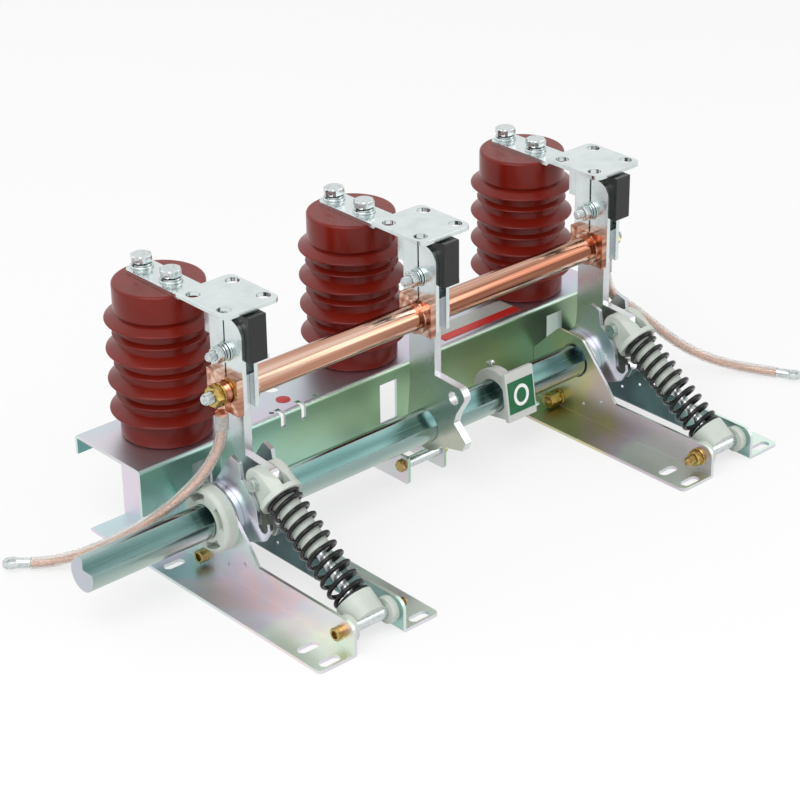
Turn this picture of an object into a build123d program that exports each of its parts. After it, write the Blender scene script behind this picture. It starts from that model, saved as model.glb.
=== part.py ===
"""Three-phase earthing switch for a medium-voltage cabinet, closed, in millimetres.

X runs along the switch shaft, with the drive end towards -X. Y runs from the front
(-Y, where the knives fall open) to the back, and Z is up. The origin is on the floor,
midway between the four outer foot slots.
"""
import os
from math import cos, hypot, pi, radians, sin, tan

from build123d import *

os.makedirs("parts", exist_ok=True)

# Phases and foot
phase_pitch = 210.0
phases = {"left": -phase_pitch, "middle": 0.0, "right": phase_pitch}
spring_phases = {"left": -phase_pitch, "right": phase_pitch}
sheet = 3.0
air = 0.1
running = 0.05
gap = 0.3

# Cross beam, a bent channel that opens downwards
insulator_y = 163.5
beam_overhang = 0.5
beam_depth = 92.0
beam_top = 90.0
web_bottom = 14.0
lip_height = 18.0
bend_radius = 4.0
web_front = insulator_y - beam_depth / 2
web_back = web_front + sheet
window_width = 20.0
window_top = 77.5
window_bottom = 38.0
strap_slot_x = (-121.0, -98.0)
strap_slot_width = 5.0
strap_slot_top = 10.0
strap_slot_drop = 14.0
rivet_hole_x = (-128.0, -79.0)
rivet_hole_diameter = 4.5
rivet_hole_from_front = 7.0
cable_hole_x = -99.0
cable_hole_y = insulator_y - 3.0
cable_hole_diameter = 14.0

# Main shaft
shaft_y = 64.0
shaft_z = 56.5
shaft_radius = 15.0
shaft_step_forward = 1.4
shaft_step_up = 5.0
drive_end = 123.0
shaft_tail = 1.0
groove_width = 2.0
groove_depth = 0.5
groove_lead = 0.8

# Four side brackets, two for each spring
bracket_half_gap = 24.5
bracket_rear = 197.0
bracket_front = -107.0
bracket_low = 30.0
bracket_lobe_rear = (85.5, 82.0)
bracket_lobe_front = (54.5, 80.5)
bracket_knee = (23.5, 46.0)
bracket_toe = (11.5, 30.0)
bracket_web_step = 51.0
lobe_radius = 9.0
front_corner_radius = 10.0
flange_width = 36.0
flange_corner_radius = 5.0
slot_length = 20.0
slot_width = 9.0
slot_from_plate = 20.0
slot_y = (100.0, -74.0, -100.0)
sight_holes = ((50.5, 16.0), (28.5, 26.0))
sight_hole_diameter = 3.2
inner_shaft_clearance = 1.2
half_pair = bracket_half_gap + sheet
beam_length = 2 * (phase_pitch + half_pair + flange_width + beam_overhang)

# Nylon shaft bearings on the outer brackets
bearing_radius = 29.0
bearing_length = 12.0
bearing_spigot_radius = 19.0
bearing_pocket_inner = 18.5
bearing_pocket_outer = 24.5
bearing_pocket_depth = 8.0
bearing_pocket_angle = 50.0
bearing_pockets = 4
bearing_round = 4.5
bearing_face = phase_pitch + half_pair + bearing_length

# Post insulators, cast resin with sheds
insulator_height = 140.0
insulator_radius = 39.4
insulator_core = 37.2
shed_radius = 47.5
small_shed_radius = 41.5
shed_drops = (32.8, 60.7, 88.7, 116.1)
shed_half_thickness = 4.2
shed_rim = 1.2
shed_root = 1.0
insulator_edge = 2.5
insert_bolt_depth = 16.0

# Terminal pieces on top of the insulators
terminal_thickness = 4.0
terminal_lift = 8.0
strap_width = 28.0
strap_behind = 30.0
strap_before = 46.0
ramp_length = 8.0
pad_width = 57.0
pad_length = 64.0
pad_offset = 6.0
strap_rear = insulator_y + strap_behind
strap_front = insulator_y - strap_before
pad_rear = strap_front - ramp_length
pad_front = pad_rear - pad_length
pad_hole_pitch = 40.0
pad_hole_radius = 6.0
pad_corner_radius = 7.0
strap_fillet = 9.0
strap_bolt_behind = 22.0
strap_bolt_before = 18.0
strap_bolt_y = (insulator_y + strap_bolt_behind, insulator_y - strap_bolt_before)
blade_width = 8.0
blade_height = 32.0
blade_rear = 98.0
blade_front = 60.0
pad_z = beam_top + insulator_height + terminal_lift
pad_up = pad_z - shaft_z

# Knife arms, upright when closed
arm_thickness = 8.0
arm_below_pad = 57.0
arm_rear = -20.5
arm_front = 12.0
arm_top = pad_up - arm_below_pad
arm_hub_radius = 24.0
pin_forward = 35.6
pin_up = 39.6
pin_radius = 6.0
lobe_corner_radius = 6.0
ledge_root_up = 53.4
ledge_end = (45.0, 51.4)
nose = (50.5, 43.0)
throat_upper = (39.0, 24.5)
throat_lower = (36.0, 15.0)
beak_upper = (51.0, 0.7)
beak_lower = (46.6, -8.3)
belly = (19.0, -14.5)
arm_waist_up = 40.0

# Contact fingers on both sides of each arm
finger_thickness = 4.0
finger_rear = -22.5
finger_front = 18.5
finger_below_pad = 7.0
finger_length = 77.5
finger_corner = 14.0
finger_slit = 1.8
finger_slit_forward = -3.5
finger_slit_length = 52.0
finger_top = pad_up - finger_below_pad
finger_bottom = finger_top - finger_length
finger_slit_bottom = finger_top - finger_slit_length
shelf_below_pad = 46.0
shelf_up = pad_up - shelf_below_pad
shelf_reach = 20.0
shelf_thickness = 4.0
shelf_rear = 6.0
block_front = 24.5
block_reach = 14.0
block_below_pad = 1.5
block_top = pad_up - block_below_pad
contact_bolt_forward = -3.0
contact_bolt_below_pad = 38.0
contact_bolt_up = pad_up - contact_bolt_below_pad
contact_bolt_radius = 4.0

# Copper link between the phases
link_below_pad = 72.0
link_up = pad_up - link_below_pad
link_rod_radius = 5.0
tube_outer = 11.75
tube_bore = 8.5
tube_ring_radius = 15.5
tube_ring_length = 4.0
clamp_thickness = 6.0
clamp_front = 18.5
clamp_rear = -21.5
clamp_height = 32.0
rod_left = -35.0
rod_right = 28.0
lug_thickness = 3.0

# Earthing leads
lead_radius = 5.0
lead_from_palm = 3.0
lead_arc_share = 0.45
lug_palm_radius = 9.0
lug_barrel_radius = 5.6
lug_barrel_length = 6.5
lug_drop = 23.0
lug_barrel_bottom = shaft_z + link_up - lug_drop
lead_points = {
    "left": (
        (-227.0, 64.0, 128.0),
        (-234.5, 67.0, 108.5),
        (-249.0, 72.5, 90.0),
        (-268.0, 81.0, 73.0),
        (-286.5, 96.5, 54.5),
        (-304.5, 122.5, 33.0),
        (-321.0, 152.0, 14.0),
        (-337.0, 171.0, 6.0),
        (-347.0, 180.0, 6.0),
    ),
    "right": (
        (221.0, 64.0, 127.0),
        (229.5, 63.0, 109.0),
        (252.5, 60.0, 90.0),
        (282.5, 55.5, 62.0),
        (311.0, 48.5, 35.0),
        (335.0, 36.5, 18.0),
        (354.0, 20.0, 9.0),
        (371.0, -1.5, 5.5),
        (379.0, -17.0, 5.5),
    ),
}
ring_reach = 16.0
ring_barrel_radius = 4.5
ring_outer_radius = 8.0
ring_hole_radius = 4.2
ring_thickness = 3.0

# Drive levers on the shaft
lever_inner = 15.0
lever_thickness = 4.0
lever_hub_radius = 27.0
lever_rest_radius = hypot(pin_forward, pin_up) - pin_radius - gap
horn_radius = 59.0
hook_slot_radius = 51.0
hook_slot_width = 12.0
hook_wall = 3.0
hook_angle = 9.0
hook_bend_angle = 7.0
hook_tip_angle = 12.5
hook_heel_angle = -7.0
hook_root_angle = -50.0
horn_front_angle = 59.0
horn_tip_front = 68.5
horn_tip_rear = 79.0
horn_root_angle = 118.0
collar_radius = 27.0

# Spring guides
fork_inner = 4.3
fork_outer = 14.0
fork_nose_radius = 13.2
fork_shoulder = 17.0
fork_shoulder_radius = 19.3
fork_relief = 0.4
fork_disc_thickness = 4.5
fork_round = 2.0
guide_radius = 11.0
guide_end = 75.0
guide_bore_radius = 6.0
guide_slot_half = 5.0
rod_radius = 4.5
rod_tip = 65.0
rod_tip_chamfer = 1.1
seat_radius = 16.5
seat_start = 124.0
seat_disc_thickness = 4.0
seat_underside = 9.0
seat_socket_depth = 10.0
spring_outer_radius = 16.2
spring_wire = 4.0
spring_turns = 11.5
spring_wire_sides = 8

# Front pivots and stops
pivot_y = -91.5
pivot_z = 17.0
pivot_bolt_radius = 4.0
pivot_sleeve_radius = 6.0
pivot_spacer_radius = 11.5
pivot_spacer_length = 7.0
tie_bolt_y = 83.5
tie_bolt_z = 11.5
stop_y = 74.5
stop_z = 19.0
stop_sleeve_radius = 5.0
stop_sleeve_half = 20.0
stop_ear_front = 66.5
stop_ear_bottom = 2.0
stop_ear_top = 29.0

# Position indicator clamped on the shaft
indicator_left = 78.0
indicator_width = 27.0
indicator_front = 22.0
indicator_back = -17.0
indicator_half_height = 24.0
indicator_tilt = 12.0
indicator_corner = 4.0
indicator_ring_radius = 30.0
indicator_ring_start = 2.0
indicator_ring_width = 10.0
indicator_recess_radius = 19.0
indicator_recess_depth = 6.0
indicator_screw_angle = 112.0

# Fasteners
strap_bolt = {"radius": 5.0, "flats": 17.0, "head": 6.5, "depth": 16.0}
insert_bolt = {"radius": 6.0, "flats": 18.0, "head": 7.5}
contact_bolt = {"radius": 4.0, "flats": 13.0, "head": 5.3}
bracket_bolt = {"radius": 4.0, "flats": 13.0, "head": 5.3}
stop_bolt = {"radius": 3.0, "flats": 10.0, "head": 4.0}
indicator_screw = {"radius": 2.0, "flats": 7.0, "head": 3.0}
link_nut_size = {"radius": 5.0, "flats": 17.0}
flat_washer = 2.0
flat_washer_radius = 10.0
spring_washer = 2.6
spring_washer_radius = 8.6
washer_stack = flat_washer + spring_washer
contact_disc_radius = 9.0
contact_disc_flat = 8.0
contact_disc_length = 5.0
contact_nut = 6.5
contact_bolt_tail = 18.6
link_washer_radius = 10.0
link_washer = 2.0
link_nut = 8.0
bracket_washer_radius = 8.0
bracket_washer_thickness = 1.6
bracket_nut = 6.5
bracket_bolt_tail = 16.5
slim_nut = 4.0
cap_screw_tail = 12.5
cap_head_radius = 5.8
cap_head_height = 7.0
cap_head_chamfer = 0.6
cap_socket_flats = 6.0
cap_socket_depth = 4.0
stop_nut = 5.0
stop_ear_radius = 4.0


def elevation(x):
    """Side view at x: local x runs forward, local y runs up."""
    return Plane(origin=(x, 0, 0), x_dir=(0, -1, 0), z_dir=(-1, 0, 0))


def shaft_view(x):
    """Side view at x with its origin on the shaft axis."""
    return Plane(origin=(x, shaft_y, shaft_z), x_dir=(0, -1, 0), z_dir=(-1, 0, 0))


def save(part, name):
    part.label = name
    export_step(part, f"parts/{name}.step")


# Cross beam: top, front web with windows, rear lip
with BuildPart() as beam:
    with BuildSketch(Plane.YZ.offset(-beam_length / 2)):
        with BuildLine():
            Polyline(
                (web_front, web_bottom),
                (web_front, beam_top),
                (web_front + beam_depth, beam_top),
                (web_front + beam_depth, beam_top - lip_height),
                (web_front + beam_depth - sheet, beam_top - lip_height),
                (web_front + beam_depth - sheet, beam_top - sheet),
                (web_back, beam_top - sheet),
                (web_back, web_bottom),
                close=True,
            )
        make_face()
    extrude(amount=beam_length)
    fillet(beam.edges().filter_by(Axis.X).group_by(Axis.Z)[-1], bend_radius)
    with BuildSketch(Plane(origin=(0, web_front, 0), x_dir=(1, 0, 0), z_dir=(0, -1, 0))):
        with Locations(*[(x, (window_top + window_bottom) / 2) for x in phases.values()]):
            Rectangle(window_width, window_top - window_bottom)
    extrude(amount=-sheet, mode=Mode.SUBTRACT)
    with BuildSketch(Plane.XY.offset(beam_top - strap_slot_drop)):
        with Locations(*[(x, web_front + strap_slot_top / 2) for x in strap_slot_x]):
            Rectangle(strap_slot_width, strap_slot_top)
    extrude(amount=strap_slot_drop, mode=Mode.SUBTRACT)
    with BuildSketch(Plane.XY.offset(beam_top)):
        with Locations(*[(x, web_front + rivet_hole_from_front) for x in rivet_hole_x]):
            Circle(rivet_hole_diameter / 2)
        with Locations((cable_hole_x, cable_hole_y)):
            Circle(cable_hole_diameter / 2)
        with Locations(*[(x, insulator_y) for x in phases.values()]):
            Circle(insert_bolt["radius"] + air)
    extrude(amount=-sheet, mode=Mode.SUBTRACT)
save(beam.part, "beam")


def side_bracket(plate_outer, outward):
    """Upright plate with a foot flange; plate_outer is the face that the flange leaves."""
    plate_inner = plate_outer - outward * sheet
    flange_edge = plate_outer + outward * flange_width
    with BuildPart() as bracket:
        with BuildSketch(elevation(max(plate_outer, plate_inner))) as side:
            with BuildLine():
                Polyline(
                    (-bracket_rear, 0),
                    (-bracket_rear, beam_top - sheet),
                    (-web_back - air, beam_top - sheet),
                    (-web_back - air, web_bottom - air),
                    (-web_front + air, web_bottom - air),
                    (-web_front + air, bracket_web_step),
                    (-bracket_lobe_rear[0], bracket_lobe_rear[1]),
                    (-bracket_lobe_front[0], bracket_lobe_front[1]),
                    (-bracket_knee[0], bracket_knee[1]),
                    (-bracket_toe[0], bracket_toe[1]),
                    (-bracket_front, bracket_low),
                    (-bracket_front, 0),
                    close=True,
                )
            make_face()
            lobe = side.vertices().filter_by_position(Axis.Y, bracket_lobe_front[1], bracket_lobe_rear[1])
            fillet(lobe, lobe_radius)
            fillet(side.vertices().group_by(Axis.X)[-1].sort_by(Axis.Y)[-1], front_corner_radius)
            with Locations((-tie_bolt_y, tie_bolt_z), (-pivot_y, pivot_z)):
                Circle(pivot_bolt_radius + air, mode=Mode.SUBTRACT)
            with Locations(*[(-y, z) for y, z in sight_holes]):
                Circle(sight_hole_diameter / 2, mode=Mode.SUBTRACT)
        extrude(amount=sheet)
        flange_middle = (plate_outer + flange_edge) / 2
        with BuildSketch(Plane.XY) as foot:
            with Locations((flange_middle, (bracket_rear + bracket_front) / 2)):
                Rectangle(flange_width, bracket_rear - bracket_front)
            outer_corners = foot.vertices().group_by(Axis.X)[-1 if outward > 0 else 0]
            fillet(outer_corners.sort_by(Axis.Y)[0], flange_corner_radius)
            with Locations(*[(plate_outer + outward * slot_from_plate, y) for y in slot_y]):
                SlotOverall(slot_length, slot_width, mode=Mode.SUBTRACT)
        extrude(amount=sheet)
        along = bracket.edges().filter_by(Axis.Y)
        outer_bend = along.filter_by_position(Axis.X, plate_inner, plate_inner).group_by(Axis.Z)[0]
        fillet(outer_bend, sheet)
        with Locations(shaft_view(max(plate_outer, plate_inner))):
            hole_radius = bearing_spigot_radius if abs(plate_outer) > phase_pitch else shaft_radius
            clearance = air if abs(plate_outer) > phase_pitch else inner_shaft_clearance
            Cylinder(hole_radius + clearance, 3 * sheet, mode=Mode.SUBTRACT)
    return bracket.part


for side_name, pair_x in spring_phases.items():
    away = 1 if pair_x > 0 else -1
    save(side_bracket(pair_x + away * half_pair, away), f"bracket_{side_name}_outer")
    save(side_bracket(pair_x - away * half_pair, -away), f"bracket_{side_name}_inner")


# Post insulators with four large and three small sheds
def insulator(x):
    top = beam_top + insulator_height
    small_drops = [(a + b) / 2 for a, b in zip(shed_drops, shed_drops[1:])]
    with BuildPart() as post:
        with BuildSketch(Plane.XY.offset(beam_top)):
            with Locations((x, insulator_y)):
                Circle(insulator_radius)
        extrude(amount=insulator_height)
        fillet(post.edges().filter_by(GeomType.CIRCLE), insulator_edge)
        with BuildSketch(Plane(origin=(x, insulator_y, top), x_dir=(1, 0, 0), z_dir=(0, -1, 0))):
            waist_top = -shed_drops[0] + 2 * shed_half_thickness
            waist_bottom = -shed_drops[-1] - 2 * shed_half_thickness
            waist_middle = (insulator_core + insulator_radius) / 2 + sheet
            with Locations((waist_middle, (waist_top + waist_bottom) / 2)):
                Rectangle(insulator_radius - insulator_core + 2 * sheet, waist_top - waist_bottom)
        revolve(axis=Axis((x, insulator_y, 0), (0, 0, 1)), mode=Mode.SUBTRACT)
        with BuildSketch(Plane(origin=(x, insulator_y, top), x_dir=(1, 0, 0), z_dir=(0, -1, 0))):
            for radius, drops in ((shed_radius, shed_drops), (small_shed_radius, small_drops)):
                for drop in drops:
                    root_half = shed_half_thickness * (radius / shed_radius)
                    with BuildLine():
                        Polyline(
                            (insulator_core - shed_root, root_half - drop),
                            (radius - shed_rim, shed_rim - drop),
                            (radius, -drop),
                            (radius - shed_rim, -shed_rim - drop),
                            (insulator_core - shed_root, -root_half - drop),
                            close=True,
                        )
                    make_face()
        revolve(axis=Axis((x, insulator_y, 0), (0, 0, 1)))
        with Locations((x, insulator_y, beam_top + insert_bolt_depth / 2)):
            Cylinder(insert_bolt["radius"] + air, insert_bolt_depth, mode=Mode.SUBTRACT)
        with Locations(*[(x, y, top - strap_bolt["depth"] / 2) for y in strap_bolt_y]):
            Cylinder(strap_bolt["radius"] + air, strap_bolt["depth"], mode=Mode.SUBTRACT)
    return post.part


for phase, phase_x in phases.items():
    save(insulator(phase_x), f"insulator_{phase}")


# Terminal pieces: strap on the insulator, ramp, pad and the fixed contact blade below it
def terminal(x):
    strap_z = beam_top + insulator_height
    pad_middle = (pad_rear + pad_front) / 2
    with BuildPart() as piece:
        with BuildSketch(Plane.YZ.offset(x - pad_width)):
            with BuildLine():
                Polyline(
                    (strap_rear, strap_z),
                    (strap_rear, strap_z + terminal_thickness),
                    (strap_front, strap_z + terminal_thickness),
                    (strap_front - ramp_length, pad_z + terminal_thickness),
                    (pad_front, pad_z + terminal_thickness),
                    (pad_front, pad_z),
                    (strap_front - ramp_length, pad_z),
                    (strap_front, strap_z),
                    close=True,
                )
            make_face()
        extrude(amount=2 * pad_width)
        with BuildSketch(Plane.XY.offset(strap_z)) as plan:
            with Locations((x, (strap_rear + pad_middle) / 2)):
                Rectangle(strap_width, strap_rear - pad_middle)
            fillet(plan.vertices().group_by(Axis.Y)[-1], pad_corner_radius)
            with Locations((x + pad_offset, pad_middle)):
                Rectangle(pad_width, pad_rear - pad_front)
            fillet(plan.vertices().group_by(Axis.Y)[0], pad_corner_radius)
            right_side = plan.vertices().filter_by_position(Axis.Y, pad_rear, pad_rear).sort_by(Axis.X)
            fillet(right_side[-1], pad_corner_radius)
            fillet(right_side[-2], strap_fillet)
            fillet(right_side[0], pad_corner_radius / 2)
            with Locations(*[(x, y) for y in strap_bolt_y]):
                Circle(strap_bolt["radius"] + air, mode=Mode.SUBTRACT)
            with Locations((x + pad_offset, pad_middle)):
                with GridLocations(pad_hole_pitch, pad_hole_pitch, 2, 2):
                    Circle(pad_hole_radius, mode=Mode.SUBTRACT)
        extrude(amount=terminal_lift + terminal_thickness, mode=Mode.INTERSECT)
        blade_half = blade_width / 2 - air
        with BuildSketch(Plane.XY.offset(pad_z - blade_height)):
            with Locations((x, (blade_rear + blade_front) / 2)):
                Rectangle(2 * blade_half, blade_rear - blade_front)
        extrude(amount=blade_height)
    return piece.part


for phase, phase_x in phases.items():
    save(terminal(phase_x), f"terminal_{phase}")


# Fasteners, each made along its own Z and then seated
def hexagon_bolt(size, grip):
    """Head above z = 0, shank below."""
    with BuildPart(mode=Mode.PRIVATE) as bolt:
        with BuildSketch(Plane.XY):
            RegularPolygon(size["flats"] / 2, 6, major_radius=False)
        extrude(amount=size["head"])
        with BuildSketch(Plane.XY):
            Circle(size["radius"])
        extrude(amount=-grip)
    return bolt.part


def hexagon_nut(size, thickness):
    with BuildPart(mode=Mode.PRIVATE) as nut:
        with BuildSketch(Plane.XY):
            RegularPolygon(size["flats"] / 2, 6, major_radius=False)
            Circle(size["radius"] + air, mode=Mode.SUBTRACT)
        extrude(amount=thickness)
    return nut.part


def ring(inner, outer, thickness):
    with BuildPart(mode=Mode.PRIVATE) as washer:
        with BuildSketch(Plane.XY):
            Circle(outer)
            Circle(inner, mode=Mode.SUBTRACT)
        extrude(amount=thickness)
    return washer.part


def collect(pieces):
    return Compound(children=list(pieces))


# Bolts that hold the straps and the insulators
strap_face = beam_top + insulator_height + terminal_thickness
strap_seats = [(x, y) for x in phases.values() for y in strap_bolt_y]
strap_grip = strap_bolt["depth"] + terminal_thickness + washer_stack - gap
strap_washer_stack = (
    (0, flat_washer_radius, flat_washer),
    (flat_washer, spring_washer_radius, spring_washer),
)
save(
    collect(
        Pos(x, y, strap_face + washer_stack) * hexagon_bolt(strap_bolt, strap_grip) for x, y in strap_seats
    ),
    "strap_bolts",
)
save(
    collect(
        Pos(x, y, strap_face + level) * ring(strap_bolt["radius"] + air, radius, thickness)
        for x, y in strap_seats
        for level, radius, thickness in strap_washer_stack
    ),
    "strap_washers",
)


def along_x(x, y, z, direction=1):
    """Seat at x for a piece whose own Z is to point along X."""
    return Plane(origin=(x, y, z), x_dir=(0, 0, 1), z_dir=(direction, 0, 0)).location


insulator_bolt_grip = sheet + insert_bolt_depth - gap
save(
    collect(
        Plane(origin=(x, insulator_y, beam_top - sheet), z_dir=(0, 0, -1)).location
        * hexagon_bolt(insert_bolt, insulator_bolt_grip)
        for x in phases.values()
    ),
    "insulator_bolts",
)


# Shaft, round with a step along its whole length, and what is fixed on it
def shaft_section(clearance):
    """Circle less the step in its front top quarter."""
    Circle(shaft_radius + clearance)
    step_width = shaft_radius + clearance
    reach = step_width / 2 + clearance
    with Locations((shaft_step_forward + reach, shaft_step_up + reach)):
        Rectangle(step_width, step_width, mode=Mode.SUBTRACT)


# The drive end is finished to size as far as a groove beside the bearing
with BuildPart() as main_shaft:
    with BuildSketch(shaft_view(bearing_face + shaft_tail)):
        shaft_section(0)
    extrude(amount=2 * bearing_face + shaft_tail + drive_end)
    with BuildSketch(shaft_view(groove_width - bearing_face - groove_lead)):
        Circle(shaft_radius)
        Circle(shaft_radius - groove_depth, mode=Mode.SUBTRACT)
    extrude(amount=groove_width, mode=Mode.SUBTRACT)
save(main_shaft.part, "main_shaft")


def polar(radius, angle):
    return (radius * cos(radians(angle)), radius * sin(radians(angle)))


def lever(x_right):
    """Drive lever: horn above, round rest for the spring pin, hook that catches it below."""
    hook_outer = hook_slot_radius + hook_slot_width / 2 + hook_wall
    with BuildPart() as plate:
        with BuildSketch(shaft_view(x_right)):
            with BuildLine():
                Polyline(
                    polar(lever_rest_radius, horn_front_angle),
                    polar(horn_radius, horn_tip_front),
                    polar(horn_radius, horn_tip_rear),
                    polar(lever_hub_radius, horn_root_angle),
                    (0, 0),
                    polar(lever_hub_radius, hook_root_angle),
                    polar(hook_slot_radius, hook_heel_angle),
                    polar(hook_outer, hook_bend_angle),
                    polar(hook_outer, hook_tip_angle),
                    polar(lever_rest_radius, hook_tip_angle),
                )
                ThreePointArc(
                    polar(lever_rest_radius, hook_tip_angle),
                    polar(lever_rest_radius, (horn_front_angle + hook_tip_angle) / 2),
                    polar(lever_rest_radius, horn_front_angle),
                )
            make_face()
            Circle(lever_hub_radius)
            with Locations(Pos(*polar(hook_slot_radius, hook_angle)) * Rot(0, 0, hook_angle)):
                Circle(hook_slot_width / 2, mode=Mode.SUBTRACT)
                with Locations((0, hook_slot_width)):
                    Rectangle(hook_slot_width, 2 * hook_slot_width, mode=Mode.SUBTRACT)
        extrude(amount=lever_thickness)
        with BuildSketch(shaft_view(x_right)):
            shaft_section(air)
        extrude(amount=lever_thickness, mode=Mode.SUBTRACT)
    return plate.part


for side_name, pair_x in spring_phases.items():
    lever_rights = (pair_x - lever_inner, pair_x + lever_inner + lever_thickness)
    save(collect(lever(x) for x in lever_rights), f"levers_{side_name}")
collar_start = lever_inner + lever_thickness + air
collar_length = bracket_half_gap - gap - collar_start
collar = ring(shaft_radius + air, collar_radius, collar_length)
save(
    collect(
        along_x(pair_x + direction * collar_start, shaft_y, shaft_z, direction) * collar
        for pair_x in spring_phases.values()
        for direction in (-1, 1)
    ),
    "shaft_collars",
)


# Nylon bearings on the outer brackets, flange with four moulded pockets
def bearing(plate_outer, outward):
    with BuildPart() as bush:
        with BuildSketch(Plane.XY):
            Circle(bearing_radius)
        extrude(amount=bearing_length)
        fillet(bush.edges().filter_by(GeomType.CIRCLE).group_by(Axis.Z)[-1], bearing_round)
        with BuildSketch(Plane.XY.offset(bearing_length)):
            for turn in range(bearing_pockets):
                with BuildLine():
                    start = turn * 360 / bearing_pockets
                    end = start + bearing_pocket_angle
                    CenterArc((0, 0), bearing_pocket_outer, start, bearing_pocket_angle)
                    Line(polar(bearing_pocket_outer, end), polar(bearing_pocket_inner, end))
                    CenterArc((0, 0), bearing_pocket_inner, start, bearing_pocket_angle)
                    Line(polar(bearing_pocket_inner, start), polar(bearing_pocket_outer, start))
                make_face()
        extrude(amount=-bearing_pocket_depth, mode=Mode.SUBTRACT)
        with BuildSketch(Plane.XY):
            Circle(bearing_spigot_radius)
        extrude(amount=-sheet)
        with BuildSketch(Plane.XY.offset(-sheet)):
            Circle(shaft_radius + running)
        extrude(amount=bearing_length + sheet, mode=Mode.SUBTRACT)
    return along_x(plate_outer, shaft_y, shaft_z, outward) * bush.part


for side_name, pair_x in spring_phases.items():
    away = 1 if pair_x > 0 else -1
    save(bearing(pair_x + away * half_pair, away), f"bearing_{side_name}")


# Knife arms
def knife_arm(x):
    with BuildPart() as arm:
        with BuildSketch(shaft_view(x + arm_thickness / 2)) as side:
            with BuildLine():
                Polyline(
                    (arm_rear, arm_top),
                    (arm_front, arm_top),
                    (arm_front, ledge_root_up),
                    ledge_end,
                    nose,
                    throat_upper,
                    throat_lower,
                    beak_upper,
                    beak_lower,
                    belly,
                    (0, -arm_hub_radius / 2),
                    (-arm_hub_radius, 0),
                    (arm_rear, arm_waist_up),
                    close=True,
                )
            make_face()
            Circle(arm_hub_radius)
            fillet(
                side.vertices()
                .filter_by_position(Axis.X, ledge_end[0], nose[0])
                .filter_by_position(Axis.Y, nose[1], ledge_end[1]),
                lobe_corner_radius,
            )
            with Locations((pin_forward, pin_up)):
                Circle(pin_radius + running, mode=Mode.SUBTRACT)
            Circle(shaft_radius + running, mode=Mode.SUBTRACT)
            with Locations((0, link_up)):
                Circle(link_rod_radius + air, mode=Mode.SUBTRACT)
        extrude(amount=arm_thickness)
    return arm.part


for phase, phase_x in phases.items():
    save(knife_arm(phase_x), f"knife_arm_{phase}")


# Contact fingers: a plain one on the drive side, one with a shelf for the arc block on the other
def finger(x_right, with_shelf):
    with BuildPart() as plate:
        with BuildSketch(shaft_view(x_right)) as side:
            finger_middle = (finger_rear + finger_front) / 2
            with Locations((finger_middle, (finger_bottom + finger_top) / 2)):
                Rectangle(finger_front - finger_rear, finger_top - finger_bottom)
            front_top = side.vertices().group_by(Axis.Y)[-1].sort_by(Axis.X)[-1]
            if with_shelf:
                shelf_top = shelf_up + shelf_thickness
                with Locations(((shelf_rear + finger_front) / 2, (shelf_top + finger_top) / 2)):
                    Rectangle(finger_front - shelf_rear, finger_top - shelf_top, mode=Mode.SUBTRACT)
            else:
                fillet(front_top, finger_corner)
            slit_middle = (finger_slit_bottom + finger_top) / 2
            with Locations((finger_slit_forward, slit_middle)):
                Rectangle(finger_slit, finger_top - finger_slit_bottom, mode=Mode.SUBTRACT)
            with Locations((contact_bolt_forward, contact_bolt_up)):
                Circle(contact_bolt_radius + air, mode=Mode.SUBTRACT)
            with Locations((0, link_up)):
                Circle(link_rod_radius + air, mode=Mode.SUBTRACT)
        extrude(amount=finger_thickness)
        if with_shelf:
            shelf_width = shelf_reach - arm_thickness / 2
            with BuildSketch(shaft_view(x_right + shelf_reach - arm_thickness)):
                with Locations(((shelf_rear + finger_front) / 2, shelf_up + shelf_thickness / 2)):
                    Rectangle(finger_front - shelf_rear, shelf_thickness)
            extrude(amount=shelf_width)
    return plate.part


save(collect(finger(x - arm_thickness / 2, False) for x in phases.values()), "contact_fingers")
save(
    collect(finger(x + arm_thickness / 2 + finger_thickness, True) for x in phases.values()),
    "shelf_fingers",
)
block_bottom = shelf_up + shelf_thickness + air
with BuildPart() as arc_blocks:
    for x in phases.values():
        with BuildSketch(shaft_view(x + block_reach)):
            with Locations(((shelf_rear + block_front) / 2, (block_bottom + block_top) / 2)):
                Rectangle(block_front - shelf_rear - air, block_top - block_bottom)
        extrude(amount=block_reach + arm_thickness / 2 - air)
save(arc_blocks.part, "arc_blocks")


# Contact bolts with their disc springs and nuts
contact_seats = [(x, shaft_y - contact_bolt_forward, shaft_z + contact_bolt_up) for x in phases.values()]
pack_half = arm_thickness / 2 + finger_thickness
save(
    collect(
        along_x(x + pack_half, y, z) * hexagon_bolt(contact_bolt, 2 * pack_half + contact_bolt_tail)
        for x, y, z in contact_seats
    ),
    "contact_bolts",
)
with BuildPart(mode=Mode.PRIVATE) as disc_stack:
    with BuildSketch(Plane.XZ):
        with BuildLine():
            Polyline(
                (contact_bolt_radius + air, 0),
                (contact_disc_flat, 0),
                (contact_disc_radius, contact_disc_length / 2),
                (contact_disc_flat, contact_disc_length),
                (contact_bolt_radius + air, contact_disc_length),
                close=True,
            )
        make_face()
    revolve(axis=Axis.Z)
save(
    collect(along_x(x - pack_half, y, z, -1) * disc_stack.part for x, y, z in contact_seats),
    "contact_discs",
)
save(
    collect(
        along_x(x - pack_half - contact_disc_length, y, z, -1) * hexagon_nut(contact_bolt, contact_nut)
        for x, y, z in contact_seats
    ),
    "contact_nuts",
)


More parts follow.
